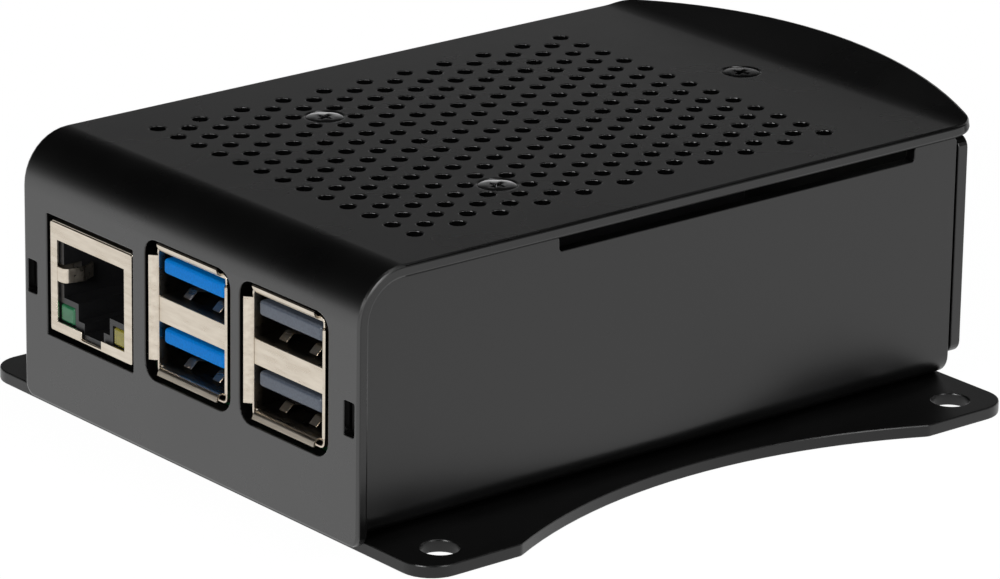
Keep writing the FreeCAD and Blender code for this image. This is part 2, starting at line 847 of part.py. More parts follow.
def make_tray_openings(body):
    """Cut the floor and wall openings."""
    notch = new_sketch(body, "ribbon_notch", "YZ_Plane", "tray_half_width - 2 * gauge")
    rectangle(notch, "-notch_front", "notch_bottom", "notch_back", "cover_top")
    pocket(body, "ribbon_notch_cut", notch, length="3 * gauge", reverse=True)
    walls = ("tray_half_width - gauge / 2", "gauge / 2 - tray_half_width")
    noses = straight_edges(0, [(x, "-tray_length / 2", "wall_top") for x in walls])
    dress(body, "Fillet", "wall_noses", "front_bend - gauge - fit_gap", noses)

    windows = new_sketch(body, "side_windows", "YZ_Plane")
    low = BOARD_TOP + " - 2.3"
    high = BOARD_TOP + " + 5.5"
    for middle, half in (("11.2", "6.4"), ("25.8", "5.6"), ("39.2", "5.6")):
        front = "%s - %s" % (along(middle), half)
        back = "%s + %s" % (along(middle), half)
        rectangle(windows, front, low, back, high)
    pocket(body, "side_window_cut", windows, length="cover_width")

    rear = new_sketch(body, "rear_windows", "XZ_Plane")
    card_low = BOARD_BOTTOM + " - 4"
    card_high = BOARD_TOP + " + 1"
    rectangle(rear, across("20.5"), card_low, across("35.5"), card_high)
    facets(rear, (across("17"), BOARD_TOP + " + 1.6"), "3.4")
    facets(rear, (across("12"), BOARD_TOP + " + 1"), "1.8")
    pocket(body, "rear_window_cut", rear, length="cover_width")

    fixings = new_sketch(body, "floor_holes", "XY_Plane")
    for centre in BOARD_HOLES:
        facets(fixings, centre, "board_hole")
    pocket(body, "floor_hole_cut", fixings, length="floor_bend + gauge", reverse=True)


def make_base_tray():
    body = new_body("base_tray")
    make_tray_shell(body)
    make_screw_tab(body)
    make_tray_openings(body)
    catches = new_sketch(body, "front_catches", "XZ_Plane", "tray_length / 2")
    for left in ("tray_half_width - gauge", "-tray_half_width"):
        right = "%s + gauge" % left
        rectangle(catches, left, "catch_bottom", right, "catch_bottom + catch_height")
    pad(body, "front_catch_pad", catches, "catch_reach")
    return node(body)


# Fasteners


def countersunk_screw(name, centre, top, length, size, head, head_height):
    """A flat-headed screw whose head's face is at the given height."""
    body = new_body(name)
    under = "(%s) - %s" % (top, head_height)
    face = new_sketch(body, name + "_face", "XY_Plane", under)
    facets(face, centre, head)
    pad(body, name + "_head", face, head_height)

    def lower_rim(edge):
        return abs(edge.BoundBox.ZMax - value(under)) < 0.01

    dress(body, "Chamfer", name + "_cone", head_height + " - 0.05", lower_rim)
    shank = new_sketch(body, name + "_shank", "XY_Plane", "(%s) - %s" % (top, length))
    facets(shank, centre, size)
    pad(body, name + "_stem", shank, length)
    return body


def make_cover_screws():
    pair = []
    nuts = []
    for side, x in (("left", "-fan_screw_spacing / 2"), ("right", "fan_screw_spacing / 2")):
        centre = (x, "-fan_screw_back")
        screw = countersunk_screw(
            "fan_screw_" + side, centre, "cover_top - 0.05", "fan_screw_length",
            "screw_size", "head_size", "head_height",
        )
        pair.append(screw)
        foot = (centre[0], centre[1], FAN_BOTTOM + " - nut_height")
        body = hexagon("fan_nut_body_" + side, foot, "nut_across_flats", "nut_height")
        bore = faceted_rod("fan_nut_bore_" + side, foot, "screw_size + 0.1", "nut_height")
        nuts.append(cut("fan_nut_" + side, body, bore))
    node(group("fan_screws", pair))
    node(group("fan_nuts", nuts))
    rear = countersunk_screw(
        "cover_screw", ("0", "rear_screw_back"), "cover_top - 0.05", "rear_screw_length",
        "screw_size", "head_size", "head_height",
    )
    node(rear)
    foot = ("0", "rear_screw_back", "cover_top - 2 * gauge - clinch_height")
    ring = faceted_rod("clinch_flange", foot, "clinch_size", "clinch_height")
    neck = faceted_rod("clinch_collar", foot, "clinch_neck", "clinch_height + gauge")
    bore = faceted_rod("clinch_bore", foot, "screw_size + 0.1", "clinch_height + gauge")
    node(cut("clinch_nut", fuse("clinch_blank", [ring, neck]), bore))


def make_board_fixings():
    pillars = []
    uppers = []
    lowers = []
    for index, (x, y) in enumerate(BOARD_HOLES):
        foot = (x, y, FLOOR_TOP)
        body = hexagon("pillar_body_%d" % index, foot, "pillar_across_flats", "pillar_height")
        bore = faceted_rod("pillar_bore_%d" % index, foot, "pillar_bore", "pillar_height")
        pillars.append(cut("pillar_%d" % index, body, bore))
        foot = (x, y, BOARD_TOP)
        head_height = "board_screw_head_height"
        head = faceted_rod("pan_head_%d" % index, foot, "board_screw_head", head_height)
        foot = (x, y, BOARD_TOP + " - 4")
        shank = faceted_rod("pan_shank_%d" % index, foot, "board_screw", "4.5")
        uppers.append(fuse("pan_screw_%d" % index, [head, shank]))
        foot = (x, y, "0.05")
        head_height = "plate_screw_head_height - 0.1"
        head = faceted_rod("sunk_head_%d" % index, foot, "plate_screw_head", head_height)
        shank = faceted_rod("sunk_shank_%d" % index, foot, "board_screw", "gauge * 2 + 1.2")
        lowers.append(fuse("sunk_screw_%d" % index, [head, shank]))
    node(group("board_pillars", pillars))
    node(group("board_screws", uppers))
    node(group("plate_screws", lowers))


# Fan: square frame with a spoked hub plate, a bearing and a seven-bladed rotor


def make_fan_frame():
    body = new_body("fan_frame")
    outline = new_sketch(body, "fan_outline", "XY_Plane", FAN_BOTTOM)
    half = "fan_size / 2"
    front = FAN_MIDDLE_Y + " - " + half
    back = FAN_MIDDLE_Y + " + " + half
    rectangle(outline, minus(half), front, half, back)
    pad(body, "fan_block", outline, "fan_depth")
    middle = FAN_BOTTOM + " + fan_depth / 2"
    corners = [(x, y, middle) for x in (half, minus(half)) for y in (front, back)]
    dress(body, "Fillet", "fan_corners", "fan_corner", straight_edges(2, corners))
    duct = new_sketch(body, "fan_duct", "XY_Plane", FAN_BOTTOM)
    facets(duct, ("0", FAN_MIDDLE_Y), "fan_bore", sides=16)
    pocket(body, "fan_duct_cut", duct, reverse=True)
    hub = new_sketch(body, "fan_hub", "XY_Plane", FAN_BOTTOM)
    facets(hub, ("0", FAN_MIDDLE_Y), "hub_plate", sides=16)
    pad(body, "fan_hub_pad", hub, "hub_plate_gauge")
    reach = "fan_bore / 2 + 0.6"
    inner = "hub_plate / 2 - 1"
    spoke = new_sketch(body, "fan_spoke", "XY_Plane", FAN_BOTTOM)
    low = FAN_MIDDLE_Y + " - spoke_width / 2"
    high = FAN_MIDDLE_Y + " + spoke_width / 2"
    rectangle(spoke, inner, low, reach, high)
    pad(body, "fan_spoke_pad", spoke, "hub_plate_gauge")
    far = new_sketch(body, "fan_far_spoke", "XY_Plane", FAN_BOTTOM)
    rectangle(far, minus(reach), low, minus(inner), high)
    pad(body, "fan_far_spoke_pad", far, "hub_plate_gauge")
    for name, start, end in (
        ("fan_front_spoke", minus(reach), minus(inner)),
        ("fan_back_spoke", inner, reach),
    ):
        arm = new_sketch(body, name, "XY_Plane", FAN_BOTTOM)
        low = FAN_MIDDLE_Y + " + " + start
        high = FAN_MIDDLE_Y + " + " + end
        rectangle(arm, "-spoke_width / 2", low, "spoke_width / 2", high)
        pad(body, name + "_pad", arm, "hub_plate_gauge")
    seat = new_sketch(body, "fan_bearing_seat", "XY_Plane", FAN_BOTTOM)
    facets(seat, ("0", FAN_MIDDLE_Y), "bearing_size + 0.02")
    pocket(body, "fan_bearing_seat_cut", seat, reverse=True)
    holes = new_sketch(body, "fan_holes", "XY_Plane", FAN_BOTTOM)
    spread = "fan_screw_spacing / 2"
    for x in (spread, minus(spread)):
        for y in (spread, minus(spread)):
            facets(holes, (x, FAN_MIDDLE_Y + " + " + y), "fan_hole")
    pocket(body, "fan_hole_cut", holes, reverse=True)
    return node(body)


def make_fan_bearing():
    foot = ("0", FAN_MIDDLE_Y, FAN_BOTTOM)
    height = "hub_plate_gauge + rotor_gap + 3.2"
    sleeve = faceted_rod("bearing_sleeve", foot, "bearing_size", height)
    bore = rod("bearing_bore", foot, "shaft_size + 2 * shaft_clearance", height)
    return node(cut("fan_bearing", sleeve, bore))


def make_fan_rotor():
    """A hub cup on a round shaft, with pitched blades, drawn about its own axis."""
    body = new_body("fan_rotor")
    bind(body, "Placement.Base.y", FAN_MIDDLE_Y)
    centre = ("0", "0")
    cup = new_sketch(body, "rotor_cup_outline", "XY_Plane", ROTOR_BOTTOM)
    facets(cup, centre, "rotor_cup", sides=16)
    pad(body, "rotor_cup_pad", cup, "rotor_height")
    hollow = new_sketch(body, "rotor_hollow", "XY_Plane", ROTOR_BOTTOM)
    facets(hollow, centre, "rotor_cup - 2.4", sides=16)
    pocket(body, "rotor_hollow_cut", hollow, length="rotor_height - 1.4", reverse=True)
    shaft = new_sketch(body, "rotor_shaft", "XY_Plane", FAN_BOTTOM + " + 0.3")
    circle(shaft, centre, "shaft_size")
    pad(body, "rotor_shaft_pad", shaft, "hub_plate_gauge + rotor_gap + rotor_height - 0.8")

    rib = new_sketch(body, "blade_section", "YZ_Plane", "rotor_cup / 2 - 0.6")
    middle = ROTOR_BOTTOM + " + rotor_height / 2"
    corners = (
        ("-blade_lean - 0.4", middle + " - blade_rise"),
        ("-blade_lean + 0.4", middle + " - blade_rise"),
        ("blade_lean + 0.4", middle + " + blade_rise"),
        ("blade_lean - 0.4", middle + " + blade_rise"),
    )
    trace(rib, corners)
    blade = pad(body, "blade_pad", rib, "blade_tip - rotor_cup / 2 + 0.6")
    ring = body.newObject("PartDesign::PolarPattern", "blade_ring")
    ring.Originals = [blade]
    ring.Axis = (shaft, ["N_Axis"])
    ring.Angle = 360
    bind(ring, "Occurrences", "blade_count")
    body.Tip = ring
    settle(ring)
    return node(body)


# Board and the parts that are soldered to it


def make_board():
    body = new_body("circuit_board")
    blank = new_sketch(body, "board_blank", "XY_Plane", BOARD_BOTTOM)
    left = across("0")
    right = across("board_width")
    front = along("board_length")
    back = along("0")
    rectangle(blank, left, front, right, back)
    pad(body, "board_pad", blank, "board_gauge")
    middle = BOARD_BOTTOM + " + board_gauge / 2"
    corners = [(x, y, middle) for x in (left, right) for y in (front, back)]
    dress(body, "Fillet", "board_corners", "board_corner", straight_edges(2, corners))
    holes = new_sketch(body, "board_holes", "XY_Plane", BOARD_BOTTOM)
    for centre in BOARD_HOLES:
        facets(holes, centre, "board_hole")
    pocket(body, "board_hole_cut", holes, reverse=True)
    return node(body)


# Flat parts on the board: name, distance of the middle from the power edge and from
# the card end, width, length and height
CHIPS = (
    ("processor_carrier", 29.0, 30.0, 17.0, 17.0, 0.9),
    ("memory_chip", 29.0, 47.5, 10.0, 14.5, 1.0),
    ("port_controller", 30.5, 60.0, 9.0, 9.0, 1.0),
    ("power_chip", 16.5, 11.5, 6.0, 6.0, 0.9),
    ("network_chip", 16.5, 60.3, 7.0, 7.0, 0.9),
    ("radio_shield", 43.5, 11.5, 12.0, 10.0, 1.6),
)


def chip(name, x, y, width, length, height, base="0"):
    """A flat part centred on a place on the board."""
    corner = (across(x - width / 2), along(y + length / 2), "%s + %s" % (BOARD_TOP, base))
    return block(name, corner, (width, length, height))


def make_chips():
    for entry in CHIPS:
        node(chip(*entry))
    node(chip("processor_lid", 29.0, 30.0, 15.0, 15.0, 1.4, base="0.9"))
    coils = [
        chip("coil_%d" % index, x, y, 3.0, 3.0, 1.8)
        for index, (x, y) in enumerate(((10.5, 18.0), (14.5, 20.5), (20.5, 18.5), (38.5, 20.0)))
    ]
    node(group("power_coils", coils))
    caps = [
        chip("capacitor_%d" % index, 40.0, 24.0 + 2.4 * index, 0.8, 1.2, 0.7)
        for index in range(6)
    ]
    node(group("capacitors", caps))


def make_small_sockets():
    """Flat-cable sockets, power and video sockets, fan socket and the card socket."""
    ribbons = []
    latches = []
    for index, y in enumerate((49.5, 54.8)):
        ribbons.append(chip("ribbon_socket_%d" % index, 11.5, y, 17.0, 2.6, 2.6))
        latches.append(chip("ribbon_latch_%d" % index, 11.5, y - 1.8, 17.0, 0.9, 2.9))
    node(group("camera_sockets", ribbons))
    node(group("camera_socket_latches", latches))
    node(chip("expansion_socket", 32.0, 3.2, 12.0, 3.4, 2.0))
    node(chip("fan_socket", 45.5, 63.0, 6.0, 3.6, 4.3))

    shells = []
    tongues = []
    for name, y, width, height, depth in (
        ("power_socket", "11.2", "8.9", "3.2", "7.3"),
        ("video_socket_a", "25.8", "6.5", "3.0", "7.5"),
        ("video_socket_b", "39.2", "6.5", "3.0", "7.5"),
    ):
        front = "%s - %s / 2" % (along(y), width)
        corner = ("-board_left - 1.2", front, BOARD_TOP + " + 0.1")
        shell = block(name + "_shell", corner, (depth, width, height))
        wall = "0.3"
        hollow_corner = (
            "-board_left - 1.3",
            "%s + %s" % (front, wall),
            "%s + 0.1 + %s" % (BOARD_TOP, wall),
        )
        hollow_size = ("%s - 1" % depth, "%s - 2 * %s" % (width, wall), "%s - 2 * %s" % (height, wall))
        shells.append(cut(name, shell, block(name + "_hollow", hollow_corner, hollow_size)))
        tongue_corner = (
            "-board_left - 0.6",
            "%s + %s / 2 - %s * 0.36" % (front, width, width),
            "%s + 0.1 + %s / 2 - 0.35" % (BOARD_TOP, height),
        )
        tongue_size = ("%s - 1.7" % depth, "%s * 0.72" % width, "0.7")
        tongues.append(block(name + "_tongue", tongue_corner, tongue_size))
    node(group("video_sockets", shells[1:]))
    node(group("side_socket_tongues", tongues))
    node(shells[0])
    corner = (across("28 - 6"), along("15.5"), BOARD_BOTTOM + " - 1.4")
    tray = block("card_socket_shell", corner, ("12", "14.8", "1.4"))
    slot_corner = (across("28 - 5.5"), along("14.5"), BOARD_BOTTOM + " - 1.15")
    slot = block("card_socket_slot", slot_corner, ("11", "15", "0.8"))
    node(cut("card_socket", tray, slot))


def make_header():
    """Double row of square pins in a black base, with a slot for each row."""
    base_y = along("57.43")
    base = block("header_base", (across("50"), base_y, BOARD_TOP), ("5.0", "50.8", "2.5"))
    slots = []
    pins = []
    for column, x in enumerate((51.23, 53.77)):
        corner = (across(x - 0.34), base_y + " + 0.5", BOARD_BOTTOM)
        slots.append(block("pin_slot_%d" % column, corner, ("0.68", "49.8", "6.0")))
        for step in range(20):
            y = 7.9 + 2.54 * step
            foot = (across(x - 0.32), along(y + 0.32), BOARD_TOP)
            pin = block("pin_%d_%d" % (step, column), foot, ("0.64", "0.64", "8.5"))
            pins.append(pin)
    node(cut("pin_header", base, fuse("pin_slots", slots)))
    node(group("header_pins", pins))


def make_power_button():
    """A small push switch on the card end, whose plunger is pressed from the rear."""
    y = along("4")
    z = BOARD_TOP
    case = block("switch_case_blank", (across("14.6"), y, z), ("4.8", "3.4", "3.2"))
    bore = block("switch_bore", (across("15.7"), y + " + 1.2", z + " + 0.85"), ("2.6", "3", "1.5"))
    node(cut("switch_case", case, bore))
    stem = block(
        "switch_plunger",
        (across("15.75"), y + " + 1.65", z + " + 0.9"),
        ("2.5", "2.95", "1.4"),
    )
    node(stem)
    lamp = chip("status_lamp", 12.0, 1.4, 1.6, 0.8, 0.9)
    node(lamp)


# Network socket: plated shell with a framed mouth, a black insert and two lenses


def make_network_socket():
    middle = across("jack_across")
    left = middle + " - jack_width / 2"
    z = BOARD_TOP
    face = "-jack_face"
    shell = block("jack_blank", (left, face, z), ("jack_width", "jack_depth", "jack_height"))
    skin = "0.3"
    hollow = block(
        "jack_hollow",
        (left + " + " + skin, face + " + " + skin, z + " - 1"),
        ("jack_width - 0.6", "jack_depth - 0.6", "jack_height + 0.7"),
    )
    mouth = block("jack_mouth", (left + " + 1.3", face + " - 1", z + " + 1.25"), ("13.2", "2", "10.05"))
    latch_gap = block("jack_latch_gap", (middle + " - 2.0", face + " - 1", z + " + 0.25"), ("4.0", "2", "2"))
    tools = fuse("jack_tools", [hollow, mouth, latch_gap])
    tab_side = block("jack_tab", (left + " + 0.3", face + " + 0.1", z + " + 6.1"), ("1.6", "0.25", "2.0"))
    node(fuse("network_socket_shell", [cut("jack_body", shell, tools), tab_side]))

    insert_corner = (left + " + 0.4", face + " + 0.45", z)
    insert_size = ("jack_width - 0.8", "jack_depth - 1", "jack_height - 0.45")
    insert = block("jack_insert_blank", insert_corner, insert_size)
    plug = block("jack_plug_space", (middle + " - 5.95", face + " - 1", z + " + 4.3"), ("11.9", "15", "7.0"))
    latch = block("jack_latch_space", (middle + " - 3.1", face + " - 1", z + " + 2.2"), ("6.2", "15", "3"))
    heel = block("jack_heel_space", (middle + " - 1.9", face + " - 1", z + " + 0.9"), ("3.8", "9", "3"))
    tab_room = block("jack_tab_room", (left, face + " - 1", z + " + 5.9"), ("2.3", "4", "2.4"))
    lens_room = ("3.1", "2.2", "2.5")
    left_lens = block("jack_left_room", (left + " + 1.2", face, z + " + 1.1"), lens_room)
    right_lens = block("jack_right_room", (middle + " + 3.7", face, z + " + 1.1"), lens_room)
    tools = fuse("jack_insert_tools", [plug, latch, heel, tab_room, left_lens, right_lens])
    node(cut("network_socket_insert", insert, tools))

    node(block("link_lens", (left + " + 1.35", face + " + 0.4", z + " + 1.3"), ("2.8", "1.75", "2.15")))
    node(block("traffic_lens", (middle + " + 3.85", face + " + 0.4", z + " + 1.3"), ("2.8", "1.75", "2.15")))
    wires = []
    for index in range(8):
        x = "%s - 3.7 + %.2f" % (middle, 1.02 * index)
        foot = (x, face + " + 6", z + " + 10.4")
        wires.append(block("jack_wire_%d" % index, foot, ("0.4", "7.8", "0.35")))
    node(group("network_contacts", wires))


# Stacked serial ports: folded shell with flared lips, and a tongue in each bay


def flared_lip(name, plane_role, start, length, root, tip, gauge):
    """A thin strip that leans outward from the shell's mouth."""
    outline = (root, tip, (tip[0], plus(tip[1], gauge)), (root[0], plus(root[1], gauge)))
    return prism(name, plane_role, outline, start, length)


def make_port_stack(name, port):
    middle = across(port)
    face = "-port_face"
    left = middle + " - port_width / 2"
    blank = block(
        name + "_blank", (left, face, "port_bottom"),
        ("port_width", "port_depth", "port_top - port_bottom"),
    )
    bays = []
    for level in ("bay_low", "bay_high"):
        corner = (middle + " - bay_width / 2", face + " - 1", level)
        bays.append(block("%s_%s" % (name, level), corner, ("bay_width", "bay_depth + 1", "bay_height")))
    room = block(
        name + "_room", (middle + " - bay_width / 2", face + " + bay_depth - 0.5", "bay_low"),
        ("bay_width", "port_depth - bay_depth", "port_top - bay_low - 0.35"),
    )
    pieces = [cut(name + "_shell_blank", blank, fuse(name + "_bays", bays + [room]))]

    out = "lip_flare"
    tip_y = "-port_face - 0.6"
    half_side = "5.65"
    upper_root = ("-port_face", "port_top - lip_gauge")
    upper_tip = (tip_y, "port_top - lip_gauge + " + out)
    start = middle + " - " + half_side
    long = "2 * " + half_side
    lower_root = ("-port_face", "bay_low - lip_gauge - 0.15")
    lower_tip = (tip_y, "bay_low - lip_gauge - 0.15 - " + out)
    for edge, root, tip in (("top", upper_root, upper_tip), ("bottom", lower_root, lower_tip)):
        label = "%s_%s_lip" % (name, edge)
        pieces.append(flared_lip(label, "YZ_Plane", start, long, root, tip, "lip_gauge"))
    for side, sign in (("left", "-"), ("right", "+")):
        root_x = "%s %s (port_width / 2 - lip_gauge / 2)" % (middle, sign)
        tip_x = "%s %s (port_width / 2 - lip_gauge / 2 + %s)" % (middle, sign, out)
        corners = (
            ("(%s) - lip_gauge / 2" % root_x, face),
            ("(%s) - lip_gauge / 2" % tip_x, tip_y),
            ("(%s) + lip_gauge / 2" % tip_x, tip_y),
            ("(%s) + lip_gauge / 2" % root_x, face),
        )
        label = "%s_%s_lip" % (name, side)
        height = "bay_high - bay_low + bay_height - 1"
        pieces.append(prism(label, "XY_Plane", corners, "bay_low + 0.5", height))
    for level in ("bay_low", "bay_high"):
        spring = (
            ("-port_face + 3.4", level),
            ("-port_face + 2.4", level + " + 0.9"),
            ("-port_face + 1.6", level),
        )
        for side, start in (("left", middle + " - 3.8"), ("right", middle + " + 1.7")):
            label = "%s_%s_%s_spring" % (name, level, side)
            pieces.append(prism(label, "YZ_Plane", spring, start, "1.4"))
    node(fuse(name + "_shell", pieces))

    tongues = []
    for level in ("bay_low", "bay_high"):
        tongue_corner = (
            middle + " - tongue_width / 2",
            face + " + tongue_setback",
            level + " + tongue_rise",
        )
        tongue = block(
            "%s_%s_tongue" % (name, level), tongue_corner,
            ("tongue_width", "bay_depth - tongue_setback + 1", "tongue_gauge"),
        )
        back_corner = (middle + " - bay_width / 2 + 0.1", face + " + bay_depth - 0.4", level + " + 0.1")
        back = block(
            "%s_%s_back" % (name, level), back_corner,
            ("bay_width - 0.2", "port_depth - bay_depth - 0.3", "bay_height - 0.2"),
        )
        tongues.append(fuse("%s_%s_insulator" % (name, level), [tongue, back]))
    node(group(name + "_tongues", tongues))


make_mounting_plate()
make_top_cover()
make_base_tray()
make_cover_screws()
make_board_fixings()
make_fan_frame()
make_fan_bearing()
make_fan_rotor()
make_board()
make_chips()
make_small_sockets()
make_header()
make_power_button()
make_network_socket()
make_port_stack("fast_port", "fast_port_across")
make_port_stack("slow_port", "slow_port_across")
doc.recompute()

# Check every object, then write one file for each node

for thing in doc.Objects:
    if "Invalid" in thing.State or "Error" in thing.State:
        raise ValueError("%s failed: %s" % (thing.Name, thing.State))
os.makedirs("parts", exist_ok=True)
for thing in nodes:
    shape = thing.Shape
    if shape.isNull() or not shape.isValid() or not shape.Solids:
        raise ValueError("%s has no valid shape" % thing.Label)
    shape.exportStep("parts/%s.step" % thing.Label)
    print("%-24s %2d solids %9.1f mm3" % (thing.Label, len(shape.Solids), shape.Volume))
print(len(nodes), "nodes")
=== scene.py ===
# %% [markdown]
# # A folded sheet metal case for a single board computer
# The case is three pieces of 1.5 mm sheet: a perforated cover that folds down over
# the port face, a tray that carries the board, and a flat plate with four ears.
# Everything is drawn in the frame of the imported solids, in metres, so each piece goes
# where its solid is. Sizes are written in millimetres, as on a workshop drawing.

# %% Load the frame
import math

import bmesh
import bpy
import numpy as np
from mathutils import Matrix, Vector
from mathutils.geometry import delaunay_2d_cdt


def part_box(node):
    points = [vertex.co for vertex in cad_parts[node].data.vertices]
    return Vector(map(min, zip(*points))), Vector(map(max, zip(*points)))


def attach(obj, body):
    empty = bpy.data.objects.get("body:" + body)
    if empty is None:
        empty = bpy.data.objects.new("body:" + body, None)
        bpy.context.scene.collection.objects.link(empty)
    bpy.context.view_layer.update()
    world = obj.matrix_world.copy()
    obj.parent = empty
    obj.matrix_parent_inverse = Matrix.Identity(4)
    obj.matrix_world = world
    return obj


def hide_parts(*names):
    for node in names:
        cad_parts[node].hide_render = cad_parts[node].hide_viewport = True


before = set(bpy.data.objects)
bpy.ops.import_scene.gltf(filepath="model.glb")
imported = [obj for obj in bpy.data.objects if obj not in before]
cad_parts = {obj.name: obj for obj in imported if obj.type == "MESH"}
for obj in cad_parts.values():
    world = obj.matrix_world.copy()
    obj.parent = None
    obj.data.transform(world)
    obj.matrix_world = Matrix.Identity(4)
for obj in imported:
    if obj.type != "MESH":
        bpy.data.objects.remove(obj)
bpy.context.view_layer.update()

MM = 0.001


# %% [markdown]
# ## The camera
# The photograph was taken from the front right with a long lens far away, which keeps
# the far end of the case nearly as wide as the near end. The camera looks at a point
# in the middle of the case, turned by three angles.

# %% Place the camera
turn, tilt, roll = (math.radians(angle) for angle in (50.324, 19.218, 0.858))
back = Vector((math.sin(turn) * math.cos(tilt), -math.cos(turn) * math.cos(tilt), math.sin(tilt)))
level = Vector((math.cos(turn), math.sin(turn), 0.0))
upward = back.cross(level)
side_axis = math.cos(roll) * level + math.sin(roll) * upward
up_axis = math.cos(roll) * upward - math.sin(roll) * level

lens = bpy.data.cameras.new("long_lens")
lens.lens = 212.51
lens.sensor_width = 36.0
lens.shift_x = 0.00381
lens.shift_y = 0.00078
lens.clip_start = 0.05
camera = bpy.data.objects.new("camera", lens)
aim = Vector((0.0, -1.0, 18.0)) * MM
aside, raised, distance = 0.421, -4.516, 695.46
eye = aim + (aside * side_axis + raised * up_axis + distance * back) * MM
camera.matrix_world = Matrix((side_axis, up_axis, back)).transposed().to_4x4()
camera.matrix_world.translation = eye
bpy.context.scene.collection.objects.link(camera)
bpy.context.scene.camera = camera
bpy.context.scene.view_settings.view_transform = "Standard"
print("camera at", [round(number, 3) for number in eye])

# %% [markdown]
# ## Materials from nodes
# Every finish here is one Principled shader fed by noise. The noise is measured on the
# object itself, so its grain has a real size in millimetres and stays put when the
# camera moves. Helpers keep each recipe to a few lines.


# %% Helpers for nodes
def fresh_tree(owner):
    """The emptied node tree of a material or a world."""
    owner.use_nodes = True
    owner.node_tree.nodes.clear()
    return owner.node_tree


def set_inputs(node, values):
    """Give a node's inputs a number, a colour or the output of another node."""
    for name, value in values.items():
        if isinstance(value, bpy.types.NodeSocket):
            node.id_data.links.new(value, node.inputs[name])
        else:
            node.inputs[name].default_value = value


def add_node(tree, kind, values=None, **settings):
    """A new node; its settings come first, because some inputs depend on them."""
    node = tree.nodes.new("ShaderNode" + kind)
    for name, value in settings.items():
        setattr(node, name, value)
    set_inputs(node, values or {})
    return node


def calc(tree, operation, *values):
    """One step of arithmetic on numbers and on other nodes' outputs."""
    values = dict(enumerate(values))
    return add_node(tree, "Math", values, operation=operation).outputs["Value"]


def axes(tree, space="Object"):
    """The X, Y and Z of the point that is shaded."""
    where = add_node(tree, "TexCoord").outputs[space]
    return add_node(tree, "SeparateXYZ", {"Vector": where}).outputs


# %% Helpers for finishes
def new_finish(name):
    finish = bpy.data.materials.new(name)
    tree = fresh_tree(finish)
    surface = add_node(tree, "BsdfPrincipled")
    add_node(tree, "OutputMaterial", {"Surface": surface.outputs["BSDF"]})
    return finish, tree, surface


def grain(tree, size_mm, detail=2.0, stretch=(1.0, 1.0, 1.0)):
    """Noise whose lumps are about so many millimetres wide."""
    where = add_node(tree, "TexCoord").outputs["Object"]
    mapped = add_node(tree, "Mapping", {"Vector": where, "Scale": stretch}).outputs["Vector"]
    values = {"Vector": mapped, "Scale": 1.0 / (size_mm * MM), "Detail": detail}
    return add_node(tree, "TexNoise", values).outputs["Fac"]


def tint(tree, mask, dark, light, low=0.35, high=0.65):
    """A colour between two tones, chosen by a mask."""
    ramp = add_node(tree, "ValToRGB", {"Fac": mask})
    for stop, position, tone in zip(ramp.color_ramp.elements, (low, high), (dark, light)):
        stop.position, stop.color = position, (*tone, 1.0)
    return ramp.outputs["Color"]


def spread(tree, mask, low, high):
    """The middle of a mask's range, spread between two numbers."""
    values = {"Value": mask, "From Min": 0.3, "From Max": 0.7, "To Min": low, "To Max": high}
    return add_node(tree, "MapRange", values).outputs["Result"]


def emboss(tree, mask, height_mm, strength):
    """A normal that lets a mask raise the surface by so many millimetres."""
    values = {"Height": mask, "Distance": height_mm * MM, "Strength": strength}
    return add_node(tree, "Bump", values).outputs["Normal"]


# %% [markdown]
# ## The black coat
# The sheet is powder coated: a thick plastic film that flows out in the oven and keeps
# a very fine orange peel. It is nearly black, and what grey it shows is a soft
# reflection. A broad, faint change in gloss keeps large faces from looking printed.
# The cover's holes and side band get less mirror, which is painted shade.


# %% Powder coat
def painted_edge_shade(tree, mirror):
    """Painted shade on the cover's punched edges: less mirror in the holes and along its sides."""
    place = axes(tree)
    in_sheet = calc(tree, "LESS_THAN", place["Z"], 33.0 * MM)
    on_flat = calc(tree, "GREATER_THAN", place["Y"], -39.5 * MM)
    in_hole = calc(tree, "MULTIPLY", in_sheet, on_flat)
    on_side = calc(tree, "GREATER_THAN", calc(tree, "ABSOLUTE", place["X"]), 31.65 * MM)
    # in_hole and on_side dim the mirror: painted shade in the vents and on the side band
    level = mirror
    for mask, share in ((in_hole, 0.15), (on_side, 0.58)):
        values = {"Factor": mask, 2: level, 3: mirror * share}
        level = add_node(tree, "Mix", values, data_type="FLOAT").outputs[0]
    return level


def powder_coat(name, tone, gloss, mirror, edge_shaded=False):
    finish, tree, surface = new_finish(name)
    cloud, peel = grain(tree, 14.0, 3.0), grain(tree, 0.45, 3.0)
    dark, light = [tone * 0.85] * 3, [tone * 1.15, tone * 1.15, tone * 1.18]
    values = {
        "Base Color": tint(tree, cloud, dark, light),
        "Roughness": spread(tree, cloud, gloss - 0.03, gloss + 0.04),
        "Normal": emboss(tree, peel, 0.012, 0.4),
        "Specular IOR Level": painted_edge_shade(tree, mirror) if edge_shaded else mirror,
    }
    set_inputs(surface, values)
    return finish


# One powder coat in three copies: each part gets its own tone and mirror for how dark it looks
# where it sits, which is painted light and shade
cover_coat = powder_coat("cover_coat", 0.0014, 0.28, 1.0, edge_shaded=True)
tray_coat = powder_coat("tray_coat", 0.0036, 0.32, 0.57)
plate_coat = powder_coat("plate_coat", 0.0012, 0.32, 0.45)
print("coats:", cover_coat.name, tray_coat.name, plate_coat.name)

# %% [markdown]
# ## Metals
# The port shells are drawn from thin steel with warm, slightly milky nickel plating.
# Rolling leaves fine lines along the strip, so the noise is stretched one way. Screws
# are bright zinc or black oxide, and contacts have a thin flash of gold.


